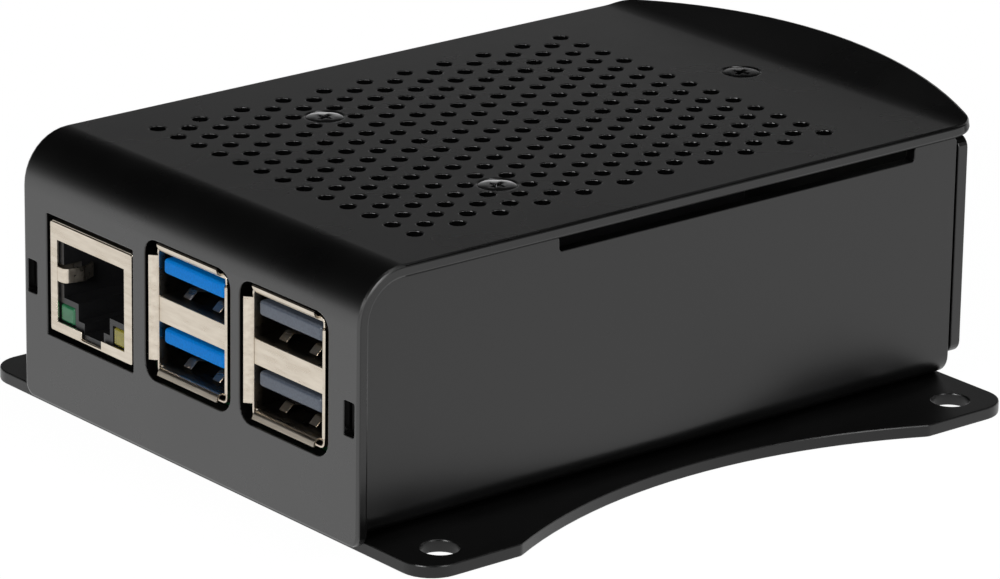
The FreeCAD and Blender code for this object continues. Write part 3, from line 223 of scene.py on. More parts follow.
# %% Plated metals
def plated_metal(name, dark, light, gloss, stretch=(1.0, 1.0, 1.0)):
    finish, tree, surface = new_finish(name)
    lines = grain(tree, 0.6, 4.0, stretch)
    values = {
        "Metallic": 1.0,
        "Base Color": tint(tree, lines, dark, light),
        "Roughness": spread(tree, lines, gloss * 0.85, gloss * 1.2),
        "Normal": emboss(tree, lines, 0.004, 0.35),
    }
    set_inputs(surface, values)
    return finish


def shade_inside(finish, mouth_mm, end_mm, left):
    """Painted shade: darken the colour behind a mouth, deeper in where little light gets in."""
    tree = finish.node_tree
    surface = next(node for node in tree.nodes if node.type == "BSDF_PRINCIPLED")
    colour = surface.inputs["Base Color"].links[0].from_socket
    values = {"From Min": mouth_mm * MM, "From Max": end_mm * MM, "To Min": 1.0, "To Max": left}
    fade = add_node(tree, "MapRange", {"Value": axes(tree)["Y"], **values}).outputs["Result"]
    shade = add_node(tree, "VectorMath", {0: colour, "Scale": fade}, operation="SCALE")
    set_inputs(surface, {"Base Color": shade.outputs["Vector"]})


NICKEL = ((0.60, 0.53, 0.44), (0.72, 0.65, 0.55), 0.30, (0.15, 1.0, 1.0))
shell_nickel = plated_metal("shell_nickel", *NICKEL)
port_nickel_painted_shade = plated_metal("port_nickel_painted_shade", *NICKEL)
# Painted shade: the port shells' colour darkens into the bays; the springs keep plain nickel so
# they stay bright
shade_inside(port_nickel_painted_shade, -45.1, -44.0, 0.16)
dark_steel = plated_metal("dark_steel", (0.60, 0.60, 0.61), (0.76, 0.76, 0.76), 0.09)
bright_zinc = plated_metal("bright_zinc", (0.62, 0.63, 0.64), (0.80, 0.80, 0.79), 0.22)
black_oxide = plated_metal("black_oxide", (0.050, 0.050, 0.051), (0.090, 0.089, 0.088), 0.20)
contact_gold = plated_metal("contact_gold", (0.72, 0.52, 0.20), (0.86, 0.66, 0.30), 0.24)
pillar_brass = plated_metal("pillar_brass", (0.58, 0.44, 0.20), (0.74, 0.58, 0.30), 0.30)
bearing_bronze = plated_metal("bearing_bronze", (0.42, 0.29, 0.15), (0.55, 0.39, 0.21), 0.42)
print("metals:", 8)

# %% [markdown]
# ## Moulded plastics and the board
# A moulded part repeats the fine spark-eroded texture of its tool. The board is glass
# fibre under a green varnish, with copper lines that show as a darker green relief.


# %% Plastics
def moulded(name, dark, light, gloss, size=0.25, mirror=0.5):
    finish, tree, surface = new_finish(name)
    texture = grain(tree, size, 3.0)
    values = {
        "Base Color": tint(tree, texture, dark, light),
        "Roughness": spread(tree, texture, gloss - 0.05, gloss + 0.06),
        "Normal": emboss(tree, texture, 0.006, 0.4),
        "Specular IOR Level": mirror,
    }
    set_inputs(surface, values)
    return finish


socket_black = moulded("socket_black", (0.010, 0.010, 0.011), (0.018, 0.018, 0.019), 0.36)
socket_cream = moulded("socket_cream", (0.58, 0.53, 0.43), (0.68, 0.63, 0.53), 0.45)
tongue_blue = moulded("tongue_blue", (0.0, 0.185, 0.640), (0.0, 0.240, 0.770), 0.42, mirror=0.12)
tongue_grey = moulded("tongue_grey", (0.070, 0.085, 0.115), (0.100, 0.120, 0.155), 0.34)
fan_plastic = moulded("fan_plastic", (0.012, 0.012, 0.013), (0.022, 0.022, 0.024), 0.48)
chip_resin = moulded("chip_resin", (0.018, 0.018, 0.020), (0.030, 0.030, 0.033), 0.52, 0.12)
lamp_cast = moulded("lamp_cast", (0.72, 0.72, 0.66), (0.82, 0.82, 0.78), 0.25)
print("plastics:", 7)


# %% Tinted lenses and the board's varnish
def tinted_lens(name, colour):
    finish, tree, surface = new_finish(name)
    cloud = grain(tree, 1.2)
    values = {
        "Base Color": tint(tree, cloud, [part * 0.8 for part in colour], colour),
        "Roughness": spread(tree, cloud, 0.08, 0.16),
        "Transmission Weight": 0.35,
        "IOR": 1.5,
    }
    set_inputs(surface, values)
    return finish


def board_varnish(name):
    finish, tree, surface = new_finish(name)
    where = add_node(tree, "TexCoord").outputs["Object"]
    values = {"Vector": where, "Scale": 320.0}
    cells = add_node(tree, "TexVoronoi", values, feature="DISTANCE_TO_EDGE")
    lines = cells.outputs["Distance"]
    values = {
        "Base Color": tint(tree, lines, (0.004, 0.060, 0.022), (0.008, 0.105, 0.040), 0.02, 0.10),
        "Roughness": 0.28,
        "Coat Weight": 0.3,
        "Normal": emboss(tree, lines, 0.02, 0.3),
    }
    set_inputs(surface, values)
    return finish


green_lens = tinted_lens("green_lens", (0.045, 0.300, 0.130))
yellow_lens = tinted_lens("yellow_lens", (0.480, 0.420, 0.060))
varnish = board_varnish("board_varnish")
print("lenses and varnish:", green_lens.name, yellow_lens.name, varnish.name)

# %% [markdown]
# ## Building pieces
# A piece is a list of shapes, and a shape is a list of corners and faces in
# millimetres. One helper turns shapes into an object, gives it its finish, lets it
# ride on its body and hides the solid it stands for. Weighted normals keep flat faces
# flat while small rounded rims still catch a highlight. A folded sheet does without
# them, because its rows of corners at each bend already keep the flats flat.


# %% The piece helper
def piece(name, shapes, finish, stands_for=None, body="case", folded=False):
    corners, faces = [], []
    for shape_corners, shape_faces in shapes:
        first = len(corners)
        corners += [tuple(number * MM for number in corner) for corner in shape_corners]
        faces += [[first + index for index in face] for face in shape_faces]
    mesh = bpy.data.meshes.new(name)
    mesh.from_pydata(corners, [], faces)
    work = bmesh.new()
    work.from_mesh(mesh)
    bmesh.ops.remove_doubles(work, verts=work.verts[:], dist=0.003 * MM)
    bmesh.ops.recalc_face_normals(work, faces=work.faces[:])
    work.to_mesh(mesh)
    work.free()
    mesh.polygons.foreach_set("use_smooth", [True] * len(mesh.polygons))
    mesh.set_sharp_from_angle(angle=math.radians(13.0 if folded else 50.0))
    mesh.materials.append(finish)
    thing = bpy.data.objects.new(name, mesh)
    bpy.context.scene.collection.objects.link(thing)
    if not folded:
        weigh = thing.modifiers.new("weigh", "WEIGHTED_NORMAL")
        weigh.keep_sharp = True
        weigh.weight = 80
    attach(thing, body)
    if stands_for:
        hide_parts(stands_for)
    print("%-26s %6d faces" % (name, len(mesh.polygons)))
    return thing


# %% Outlines
def disc(x, y, diameter, sides=20):
    turns = [2 * math.pi * k / sides for k in range(sides)]
    return [(x + diameter / 2 * math.cos(t), y + diameter / 2 * math.sin(t)) for t in turns]


def soften(corners, steps=6):
    """Round an outline's corners; a corner is x, y and, if it is rounded, a radius."""
    outline = []
    for index, corner in enumerate(corners):
        here = Vector(corner[:2])
        if len(corner) == 2:
            outline.append(tuple(here))
            continue
        before = (Vector(corners[index - 1][:2]) - here).normalized()
        after = (Vector(corners[(index + 1) % len(corners)][:2]) - here).normalized()
        half = before.angle(after) / 2
        middle = here + (before + after).normalized() * corner[2] / math.sin(half)
        start = here + before * corner[2] / math.tan(half) - middle
        end = here + after * corner[2] / math.tan(half) - middle
        first = math.atan2(start.y, start.x)
        sweep = (math.atan2(end.y, end.x) - first + math.pi) % (2 * math.pi) - math.pi
        for step in range(steps + 1):
            angle = first + sweep * step / steps
            x = middle.x + corner[2] * math.cos(angle)
            outline.append((x, middle.y + corner[2] * math.sin(angle)))
    return outline


def window(left, bottom, right, top, radius, steps=5):
    corners = ((left, bottom), (right, bottom), (right, top), (left, top))
    return soften([(x, y, radius) for x, y in corners], steps)


# %% [markdown]
# ## Sheet metal, the way it is made
# A real folded piece is first a flat blank with all its holes, and the brake folds it
# afterwards. The mesh follows the same order. The blank is triangulated around its
# holes, given its thickness and a small rounded rim, and every corner is then carried
# to its folded place. Crease lines across the bends give the sheet rows of corners to
# bend at, and a line just before each bend keeps the flat part's shading flat.


# %% Punch a blank
def travel_left(loop, reach):
    """Move a closed loop to the left of its direction of travel."""
    moved = []
    for index, here in enumerate(loop):
        before = Vector(here) - Vector(loop[index - 1])
        after = Vector(loop[(index + 1) % len(loop)]) - Vector(here)
        first = Vector((-before.y, before.x)).normalized()
        second = Vector((-after.y, after.x)).normalized()
        shift = (first + second) * reach / (1.0 + first.dot(second))
        moved.append((here[0] + shift.x, here[1] + shift.y))
    return moved


def turned_left(loop):
    """The loop, made to run anticlockwise."""
    pairs = zip(loop, loop[1:] + loop[:1])
    area = sum(a[0] * b[1] - b[0] * a[1] for a, b in pairs)
    return list(loop) if area > 0 else list(reversed(loop))


SNAP = 0.04  # a crease that meets a loop this near to a corner uses that corner


def meet_loops(loops, crease):
    """Give the loops a corner wherever a crease meets them, and pair the meetings up."""
    start, end = Vector(crease[0]), Vector(crease[1])
    along = end - start
    start, along = start - along * 0.0005, along * 1.001  # a little past both ends
    meetings = []
    for loop in loops:
        added = []
        for index, here in enumerate(loop):
            here, following = Vector(here), Vector(loop[(index + 1) % len(loop)])
            side = following - here
            square = along.x * side.y - along.y * side.x
            if abs(square) < 1e-12:
                continue
            gap = here - start
            on_crease = (gap.x * side.y - gap.y * side.x) / square
            on_side = (gap.x * along.y - gap.y * along.x) / square
            if not (0 <= on_crease <= 1 and 0 <= on_side < 1):
                continue
            spot = here + side * on_side
            meetings.append((on_crease, tuple(spot)))
            if min(on_side, 1 - on_side) * side.length > SNAP:
                added.append((index + 1, tuple(spot)))
        for index, spot in reversed(added):
            loop.insert(index, spot)
    meetings.sort()
    return [(a[1], b[1]) for a, b in zip(meetings[::2], meetings[1::2])]


def inside(polygon, points):
    """Which of many points lie inside a polygon."""
    odd = np.zeros(len(points), bool)
    for (ax, ay), (bx, by) in zip(polygon, polygon[1:] + polygon[:1]):
        crosses = (ay > points[:, 1]) != (by > points[:, 1])
        with np.errstate(divide="ignore", invalid="ignore"):
            meets = ax + (points[:, 1] - ay) * (bx - ax) / (by - ay)
        odd ^= crosses & (points[:, 0] < meets)
    return odd


# %% Fold a blank
def sheet(outline, holes, gauge, fold, creases=(), rim=0.12, outer_rim=None):
    """A sheet with rounded rims, given as a flat outline with holes and a fold."""
    loops = [turned_left(outline)] + [list(reversed(turned_left(hole))) for hole in holes]
    folds = [pair for crease in creases for pair in meet_loops(loops, crease)]
    radii = [outer_rim or rim] + [rim] * len(holes)
    rounding = [(1.0 - math.cos(t), 1.0 - math.sin(t)) for t in np.radians((0, 45, 90))]
    rings = [(0.0, 1.0, *step) for step in rounding]
    rings += [(gauge, -1.0, *step) for step in reversed(rounding)]
    flat, corners = [], []
    for start, side, down, reach in rings:
        spots = []
        for loop, radius in zip(loops, radii):
            moved = travel_left(loop, reach * radius)
            spots += moved
            corners += [fold(u, v, start + side * down * radius) for u, v in moved]
        flat.append(spots)

    faces, first, count = [], 0, len(flat[0])
    borders, rims = [], []
    for loop in loops:
        rims.append(flat[0][first:first + len(loop)])
        for index in range(len(loop)):
            here, following = first + index, first + (index + 1) % len(loop)
            borders.append((here, following))
            for ring in range(len(rings) - 1):
                low, high = ring * count, (ring + 1) * count
                faces.append([low + here, high + here, high + following, low + following])
        first += len(loop)

    top = np.array(flat[0])
    pinned = np.array([point for loop in loops for point in loop])
    for pair in folds:
        borders.append(tuple(int(np.argmin(np.hypot(*(pinned - np.array(p)).T))) for p in pair))
    found = delaunay_2d_cdt([Vector(p) for p in flat[0]], borders, [], 1, 1e-6)
    origin = [sources[0] if sources else -1 for sources in found[3]]
    triangles = np.array([[origin[index] for index in face] for face in found[2]])
    triangles = triangles[(triangles >= 0).all(axis=1)]
    middles = top[triangles].mean(axis=1)
    solid = np.ones(len(triangles), bool)
    for hole in rims[1:]:
        box = np.array(hole)
        near = ((middles > box.min(axis=0)) & (middles < box.max(axis=0))).all(axis=1)
        if near.any():
            spots = np.flatnonzero(near)
            solid[spots[inside(list(hole), middles[spots])]] = False
    under = (len(rings) - 1) * count
    for a, b, c in triangles[solid].tolist():
        faces.append([a, b, c])
        faces.append([under + c, under + b, under + a])
    return corners, faces


def hung_from(top):
    """A fold that bends nothing: the sheet lies level, with its upper face at a height."""
    return lambda u, v, depth: (u, v, top - depth)


def stood_at(front):
    """A fold that stands a blank up, with its outer face at a place along the case."""
    return lambda u, v, depth: (u, front + depth, v)


# %% [markdown]
# A bend is a quarter ring. Walking along the sheet in steps, each run is either
# straight or turns left or right about a radius, and the depth into the sheet is
# measured square to the walk. Storing the runs once gives the place of any point.


# %% Walk along a folded profile
GAUGE = 1.5


class Folding:
    """A folded profile: straight runs (length,) and bends (radius at the face, degrees)."""

    def __init__(self, start, heading, inward, runs):
        self.inward, self.runs, self.bends = inward, [], []
        point, angle, walked = Vector(start), math.radians(heading), 0.0
        for run in runs:
            if len(run) == 1:
                length, turn_by = run[0], 0.0
            else:
                turn_by = math.radians(run[1])
                towards = 1 if (turn_by > 0) == (inward > 0) else -1
                length = abs(turn_by) * (run[0] - towards * GAUGE / 2)
                self.bends.append((walked, walked + length))
            self.runs.append((walked, length, point.copy(), angle, turn_by, run[0]))
            point = Vector(self.place(walked + length, 0.0))
            angle += turn_by
            walked += length
        self.length = walked

    def place(self, distance, depth):
        run = self.runs[0]
        for candidate in self.runs:
            if distance >= candidate[0]:
                run = candidate
        walked, length, point, angle, turn_by, radius = run
        step = distance - walked
        if turn_by == 0.0:
            ahead = Vector((math.cos(angle), math.sin(angle)))
            left = Vector((-ahead.y, ahead.x))
            return tuple(point + ahead * step + left * self.inward * depth)
        swing = 1 if turn_by > 0 else -1
        centre = point + Vector((-math.sin(angle), math.cos(angle))) * swing * radius
        now = angle + turn_by * step / length
        left = Vector((-math.sin(now), math.cos(now)))
        reach = radius - swing * self.inward * depth
        return tuple(centre - left * swing * reach)

    def rows(self, steps, guard=0.3):
        """Distances at which the sheet needs a row of corners."""
        rows = []
        for start, end in self.bends:
            rows.append(start - guard)
            rows += [start + (end - start) * k / steps for k in range(steps + 1)]
            rows.append(end + guard)
        return rows


# %% [markdown]
# ## The cover
# One strip of sheet, 63.4 mm wide. It starts at the foot of the port face, turns back
# over a wide 6.2 mm bend, carries 21 rows of 2 mm holes, and ends in a lip that is bent
# softly up by 12 degrees and cut to a wide arc. Each hole has twenty sides here, which
# is enough to read as round.

# %% Cover profile and outline
COVER_HALF, COVER_TOP, FACE_Y, REAR_Y = 31.7, 33.1, -46.0, 53.1
LIP_TILT, LIP_Y, LIP_ARC = 12.0, 45.439, 73.0
cover_runs = [(25.9,), (6.2, -90.0), (82.328,), (14.0, LIP_TILT), (7.986,)]
cover_walk = Folding((FACE_Y, 1.0), 90.0, -1, cover_runs)
(_, top_start), (_, lip_start) = cover_walk.bends


def on_top(y):
    """Distance along the cover to a place on its flat top."""
    return top_start + y + 39.8


def on_lip(y):
    """Distance along the cover to a place on its rear lip."""
    return lip_start + (y - LIP_Y) / math.cos(math.radians(LIP_TILT))


arc_turns = np.linspace(-1.0, 1.0, 25) * math.asin(COVER_HALF / LIP_ARC)
arc = [(LIP_ARC * math.sin(t), on_lip(REAR_Y - LIP_ARC + LIP_ARC * math.cos(t))) for t in arc_turns]
arc = [(x, y) for x, y in reversed(arc) if abs(x) < 29.4]
corner_y = on_lip(REAR_Y - LIP_ARC + math.sqrt(LIP_ARC**2 - COVER_HALF**2))
foot_corners = [(-COVER_HALF, 0.0, 1.6), (COVER_HALF, 0.0, 1.6)]
lip_corners = [(COVER_HALF, corner_y, 3.0)] + arc + [(-COVER_HALF, corner_y, 3.0)]
cover_outline = soften(foot_corners + lip_corners)
cover_creases = [((-COVER_HALF, v), (COVER_HALF, v)) for v in cover_walk.rows(10)]
print("cover blank:", len(cover_outline), "corners,", round(cover_walk.length, 1), "mm long")

# %% Cover holes
FAN_Y = 2.28
PORTS = (0.3, 18.2)
fan_screw_spots, rear_screw_spot = [(-16.0, -13.72), (16.0, -13.72)], (0.0, 37.6)
screw_spots = fan_screw_spots + [rear_screw_spot]
vents = []
for row in range(21):
    count = 13 if row % 2 == 0 else 12
    for column in range(count):
        x, y = 4.0 * (column - (count - 1) / 2), -32.13 + 3.068 * row
        if min(math.hypot(x - sx, y - sy) for sx, sy in screw_spots) > 1.0:
            vents.append(disc(x, on_top(y), 2.0))
sinks = [disc(x, on_top(y), 4.8, 32) for x, y in screw_spots]
jack_window = window(-27.1, 8.8, -10.1, 23.7, 0.2, 2)
port_windows = [window(x - 8.1, 9.1, x + 8.1, 26.0, 2.0) for x in PORTS]
catch_slots = [window(x - 0.93, 13.05, x + 0.93, 17.1, 0.25, 2) for x in (-30.02, 30.02)]
cover_holes = vents + sinks + [jack_window] + port_windows + catch_slots
print("vents:", len(vents))


# %% [markdown]
# A countersink is a cone in the sheet. The cover's mesh stops at a round hole of the
# countersink's size, and a thin turned ring fills it with the cone and the small hole.


# %% Turned shapes
def turned(profile, x, y, sides=32):
    """A shape turned about an upright axis from (radius, height) pairs."""
    corners, faces = [], []
    for radius, z in profile:
        for k in range(sides):
            angle = 2 * math.pi * k / sides
            corners.append((x + radius * math.cos(angle), y + radius * math.sin(angle), z))
    for ring in range(len(profile) - 1):
        for k in range(sides):
            a, b = ring * sides + k, ring * sides + (k + 1) % sides
            faces.append([a, b, b + sides, a + sides])
    return corners, faces


def sink_ring(x, y, top, outer, bore, depth):
    profile = [(outer / 2 + 0.11, top - 0.01), (outer / 2, top - 0.03), (bore / 2, top - depth)]
    profile += [(bore / 2, top - GAUGE + 0.02), (outer / 2, top - GAUGE + 0.02)]
    return turned(profile + profile[:1], x, y)


# %% Make the cover
def cover_fold(u, v, depth):
    y, z = cover_walk.place(v, depth)
    return u, y, z


shapes = [sheet(cover_outline, cover_holes, GAUGE, cover_fold, cover_creases, outer_rim=0.35)]
shapes += [sink_ring(x, y, COVER_TOP, 4.8, 2.8, 1.1) for x, y in screw_spots]
piece("top_cover_sheet", shapes, cover_coat, "top_cover", folded=True)

# %% [markdown]
# ## The tray
# The blank is a cross: floor, two side walls, and a rear wall that carries a screw tab.
# Small cuts beside each bend stop the sheet from tearing. A point of the blank belongs
# to a wall or to the floor by where it lies, and takes that wall's folding.

# %% Tray profile
FLOOR_X, FLOOR_Y, TRAY_FRONT = 28.3, 43.7, 44.35
wall_runs = [(2.5, 90.0), (27.4,)]
side_walk = Folding((FLOOR_X, GAUGE), 0.0, 1, wall_runs)
rear_walk = Folding((FLOOR_Y, GAUGE), 0.0, 1, wall_runs)
tab_walk = Folding((FLOOR_Y, GAUGE), 0.0, 1, [(2.5, 90.0), (25.1,), (2.5, 90.0), (11.1,)])
wall_foot = side_walk.bends[0][1]


def wall_u(z):
    """Distance from the tray's middle to a height on a side wall."""
    return FLOOR_X + wall_foot + z - 4.0


def rear_v(z):
    """Distance from the tray's middle to a height on the rear wall."""
    return FLOOR_Y + wall_foot + z - 4.0


def tray_fold(u, v, depth):
    if v > 45.4 or (abs(u) < 25.7 and v > FLOOR_Y):
        walk = tab_walk if abs(u) < 8.5 else rear_walk
        y, z = walk.place(v - FLOOR_Y, depth)
        return u, y, z
    if abs(u) > FLOOR_X:
        x, z = side_walk.place(abs(u) - FLOOR_X, depth)
        return math.copysign(x, u), v, z
    return u, v, GAUGE + depth


# %% Tray outline
def tray_half(sign, notched):
    """One half of the tray's blank, from the front edge round to the tab."""
    top, front, rear = wall_u(31.4), -TRAY_FRONT, TRAY_FRONT
    half = [(wall_u(14.25), front), (wall_u(14.25), -45.0, 0.3), (wall_u(17.9), -45.0, 0.3)]
    half += [(wall_u(17.9), front), (top, front, 4.4)]
    if notched:
        low = wall_u(29.7)
        half += [(top, -16.8, 0.4), (low, -16.8, 0.4), (low, 37.55, 0.4), (top, 37.55, 0.4)]
    half += [(top, rear, 0.6), (FLOOR_X, rear), (FLOOR_X, 43.2), (25.5, 43.2), (25.5, rear_v(4.0))]
    half += [(30.8, rear_v(4.0), 1.5), (30.8, rear_v(31.2), 1.5), (9.0, rear_v(31.2), 0.3)]
    half += [(9.0, rear_v(28.4)), (8.0, rear_v(28.4)), (8.0, FLOOR_Y + tab_walk.length, 3.0)]
    return [(sign * corner[0], *corner[1:]) for corner in half]


tray_outline = soften(tray_half(1, True) + list(reversed(tray_half(-1, False))))
tray_creases = []
for reach in side_walk.rows(8):
    for sign in (-1, 1):
        u = sign * (FLOOR_X + (reach or 0.2))
        tray_creases.append(((u, -TRAY_FRONT), (u, TRAY_FRONT)))
for reach in tab_walk.rows(8):
    v = FLOOR_Y + reach
    if reach < wall_foot + 0.01:
        v, half_width = min(v, FLOOR_Y + wall_foot - 0.01), 25.5
    elif reach < wall_foot + 1.0:
        half_width = 31.0
    else:
        half_width = 8.0
    tray_creases.append(((-half_width, v), (half_width, v)))
print("tray blank:", len(tray_outline), "corners,", len(tray_creases), "creases")

# %% Make the tray
board_holes = [(x, y) for x in (-25.3, 23.7) for y in (38.7, -19.3)]
tray_holes = [
    window(-wall_u(16.0), y - half, -wall_u(8.2), y + half, 1.5)
    for y, half in ((31.0, 6.4), (16.4, 5.6), (3.0, 5.6))
]
tray_holes += [
    window(-8.3, rear_v(5.0), 6.7, rear_v(11.5), 1.5),
    disc(-11.8, rear_v(12.1), 3.4, 24),
    disc(-16.8, rear_v(11.5), 1.8, 16),
    disc(0.0, FLOOR_Y + tab_walk.bends[1][1] + 6.1, 4.8, 24),
]
tray_holes += [disc(x, y, 2.7, 20) for x, y in board_holes]
tray_sheet = sheet(tray_outline, tray_holes, GAUGE, tray_fold, tray_creases)
piece("base_tray_sheet", [tray_sheet], tray_coat, "base_tray", folded=True)

# %% [markdown]
# ## The mounting plate
# A flat blank again, with nothing folded. Its long sides are drawn in to a waist by
# two wide arcs, which leaves an ear with a 4.5 mm hole at each corner.

# %% Make the mounting plate
PLATE_X, PLATE_Y, WAIST_Y, WAIST_ARC = 41.9, 44.5, 30.89, 69.0
waist_turns = np.linspace(-1.0, 1.0, 25) * math.asin(WAIST_Y / WAIST_ARC)
waist = [(103.6 - WAIST_ARC * math.cos(t), WAIST_ARC * math.sin(t)) for t in waist_turns][1:-1]
right_side = [(PLATE_X, -PLATE_Y, 4.0), (PLATE_X, -WAIST_Y, 1.6)]
right_side += waist + [(PLATE_X, WAIST_Y, 1.6), (PLATE_X, PLATE_Y, 4.0)]
left_side = [(-corner[0], *corner[1:]) for corner in reversed(right_side)]
plate_outline = soften(right_side + left_side, 8)
plate_holes = [disc(x, y, 4.5, 40) for x in (-37.2, 37.2) for y in (-38.75, 38.75)]
plate_holes += [disc(x, y, 4.8, 28) for x, y in board_holes]
plate_sheet = sheet(plate_outline, plate_holes, GAUGE, hung_from(GAUGE), rim=0.15)
piece("mounting_plate_sheet", [plate_sheet], plate_coat, "mounting_plate", folded=True)

# %% [markdown]
# ## Screws
# The head is turned, and a cross recess is then cut into it. The cutter is four tapered
# wings, as on the driver's bit. A boolean is the plain choice for one small cut.


# %% Cross-recess screws
BRICK = ((0, 1, 2, 3), (4, 7, 6, 5), (0, 4, 5, 1), (1, 5, 6, 2), (2, 6, 7, 3), (3, 7, 4, 0))


def wing_cutter(x, y, top, depth=1.0, size=2.6):
    """A tapered cross that leaves a driver's recess behind."""
    corners, faces = [], []
    for turn_by in (0.35, 0.35 + math.pi / 2):
        ahead = Vector((math.cos(turn_by), math.sin(turn_by)))
        left = Vector((-ahead.y, ahead.x))
        first = len(corners)
        for z, reach, half in ((top + 0.3, size / 2, 0.36), (top - depth, size * 0.2, 0.22)):
            for a, b in ((-1, -1), (1, -1), (1, 1), (-1, 1)):
                spot = ahead * a * reach + left * b * half
                corners.append((x + spot.x, y + spot.y, z))
        faces += [[first + index for index in face] for face in BRICK]
    return corners, faces


def carve(thing, cutter_shape):
    """Take a shape out of a piece, with its weighted normals held back meanwhile."""
    corners, faces = cutter_shape
    mesh = bpy.data.meshes.new("cutter")
    mesh.from_pydata([tuple(n * MM for n in corner) for corner in corners], [], faces)
    cutter = bpy.data.objects.new("cutter", mesh)
    bpy.context.scene.collection.objects.link(cutter)
    cut = thing.modifiers.new("cut", "BOOLEAN")
    cut.object = cutter
    cut.use_self = True
    thing.modifiers.move(len(thing.modifiers) - 1, 0)
    thing.modifiers["weigh"].show_viewport = False
    shown = thing.evaluated_get(bpy.context.evaluated_depsgraph_get())
    carved = bpy.data.meshes.new_from_object(shown)
    thing.modifiers["weigh"].show_viewport = True
    thing.modifiers.remove(cut)
    thing.data = carved
    bpy.data.objects.remove(cutter)
    carved.set_sharp_from_angle(angle=math.radians(40.0))


def sunk_screw(x, y, top, length, thread=2.5, head=4.6, pitch=0.5):
    cone = (head - thread) / 2
    profile = [(0.001, top), (head / 2 - 0.25, top), (head / 2 - 0.05, top - 0.06)]
    profile += [(head / 2, top - 0.2), (thread / 2, top - 0.2 - cone)]
    z = top - 0.3 - cone
    while z > top - length + pitch:
        profile += [(thread / 2, z), (thread / 2 - 0.2, z - pitch / 2)]
        z -= pitch
    profile += [(thread / 2 - 0.4, top - length), (0.001, top - length)]
    return turned(profile, x, y)


# %% Screws of the cover
HEAD_TOP = 33.05
fan_pair = [sunk_screw(x, y, HEAD_TOP, 14.0) for x, y in fan_screw_spots]
fan_screws = piece("fan_screw_pair", fan_pair, dark_steel, "fan_screws")
for x, y in fan_screw_spots:
    carve(fan_screws, wing_cutter(x, y, HEAD_TOP))
rear_screw = sunk_screw(*rear_screw_spot, HEAD_TOP, 6.0)
cover_screw = piece("rear_cover_screw", [rear_screw], black_oxide, "cover_screw")
carve(cover_screw, wing_cutter(*rear_screw_spot, HEAD_TOP))
print("recesses cut:", 3)


# %% [markdown]
# ## Blocks and strips
# Most parts on the board are moulded blocks, and their edges are never sharp. A block
# helper bevels all its edges. A strip helper bends a thin band along a path, for the
# springs and the flared lips of the port shells.


# %% Block and strip helpers
def block(low, high, ease=0.12, steps=2):
    work = bmesh.new()
    bmesh.ops.create_cube(work, size=1.0)
    for vertex in work.verts:
        for axis in range(3):
            vertex.co[axis] = low[axis] if vertex.co[axis] < 0 else high[axis]
    reach = min(ease, 0.45 * min(b - a for a, b in zip(low, high)))
    bmesh.ops.bevel(
        work, geom=work.edges[:], offset=reach, segments=steps, profile=0.5, affect="EDGES"
    )
    work.verts.index_update()
    corners = [tuple(vertex.co) for vertex in work.verts]
    faces = [[vertex.index for vertex in face.verts] for face in work.faces]
    work.free()
    return corners, faces


def solid_box(node):
    """The lowest and the highest corner of a solid, in millimetres."""
    return [[number / MM for number in corner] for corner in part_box(node)]


def node_block(node, finish, ease, name=None, body="case", steps=2):
    """A bevelled block in the place of a plain solid."""
    shape = block(*solid_box(node), ease, steps)
    return piece(name or node + "_body", [shape], finish, node, body)


def tube(box, radius, hole_radius, steps, length, fold, rim=0.06, wall=0.3):
    """A thin drawn tube with rounded corners."""
    left, bottom, right, top = box
    bore = (left + wall, bottom + wall, right - wall, top - wall)
    hole = window(*bore, hole_radius, steps)
    return sheet(window(*box, radius, steps), [hole], length, fold, rim=rim)


def travel_left_open(path, reach):
    """Move an open path to the left of its direction of travel."""
    moved = []
    for index, here in enumerate(path):
        before = path[max(index - 1, 0)]
        after = path[min(index + 1, len(path) - 1)]
        along = (Vector(after) - Vector(before)).normalized()
        moved.append((here[0] - along.y * reach, here[1] + along.x * reach))
    return moved


def strip(path, gauge, start, end, lift, ease=0.06):
    """A band along a path, given its thickness; lift puts (a, b, width) in space."""
    corners, faces = [], []
    for a, b in zip(path, travel_left_open(path, gauge)):
        near, far = Vector(a), Vector(b)
        middle = (near + far) / 2
        for spot, width in (
            (near, start + ease), (near, end - ease), (middle, end),
            (far, end - ease), (far, start + ease), (middle, start),
        ):
            corners.append(lift(spot.x, spot.y, width))
    for row in range(len(path) - 1):
        for k in range(6):
            a, b = row * 6 + k, row * 6 + (k + 1) % 6
            faces.append([a, b, b + 6, a + 6])
    faces.append(list(range(6)))
    faces.append(list(range(len(corners) - 6, len(corners))))
    return corners, faces


def bend_path(points, radius, steps=5):
    """An open path with its inner corners rounded."""
    rounded = [points[0]]
    for before, here, after in zip(points, points[1:], points[2:]):
        part = soften([before, (*here, radius), after], steps)
        rounded += part[1:-1]
    return rounded + [points[-1]]


def dress(node, finish):
    """Give a solid that shows as it is a better finish."""
    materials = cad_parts[node].data.materials
    materials.clear()
    materials.append(finish)


# %% [markdown]
# ## The network socket
# A plated box with a framed mouth. The frame is cut from thin sheet, with a notch at
# the bottom for the plug's latch and a spring tab folded in on the left. Two small
# light guides sit behind the frame's lower corners.

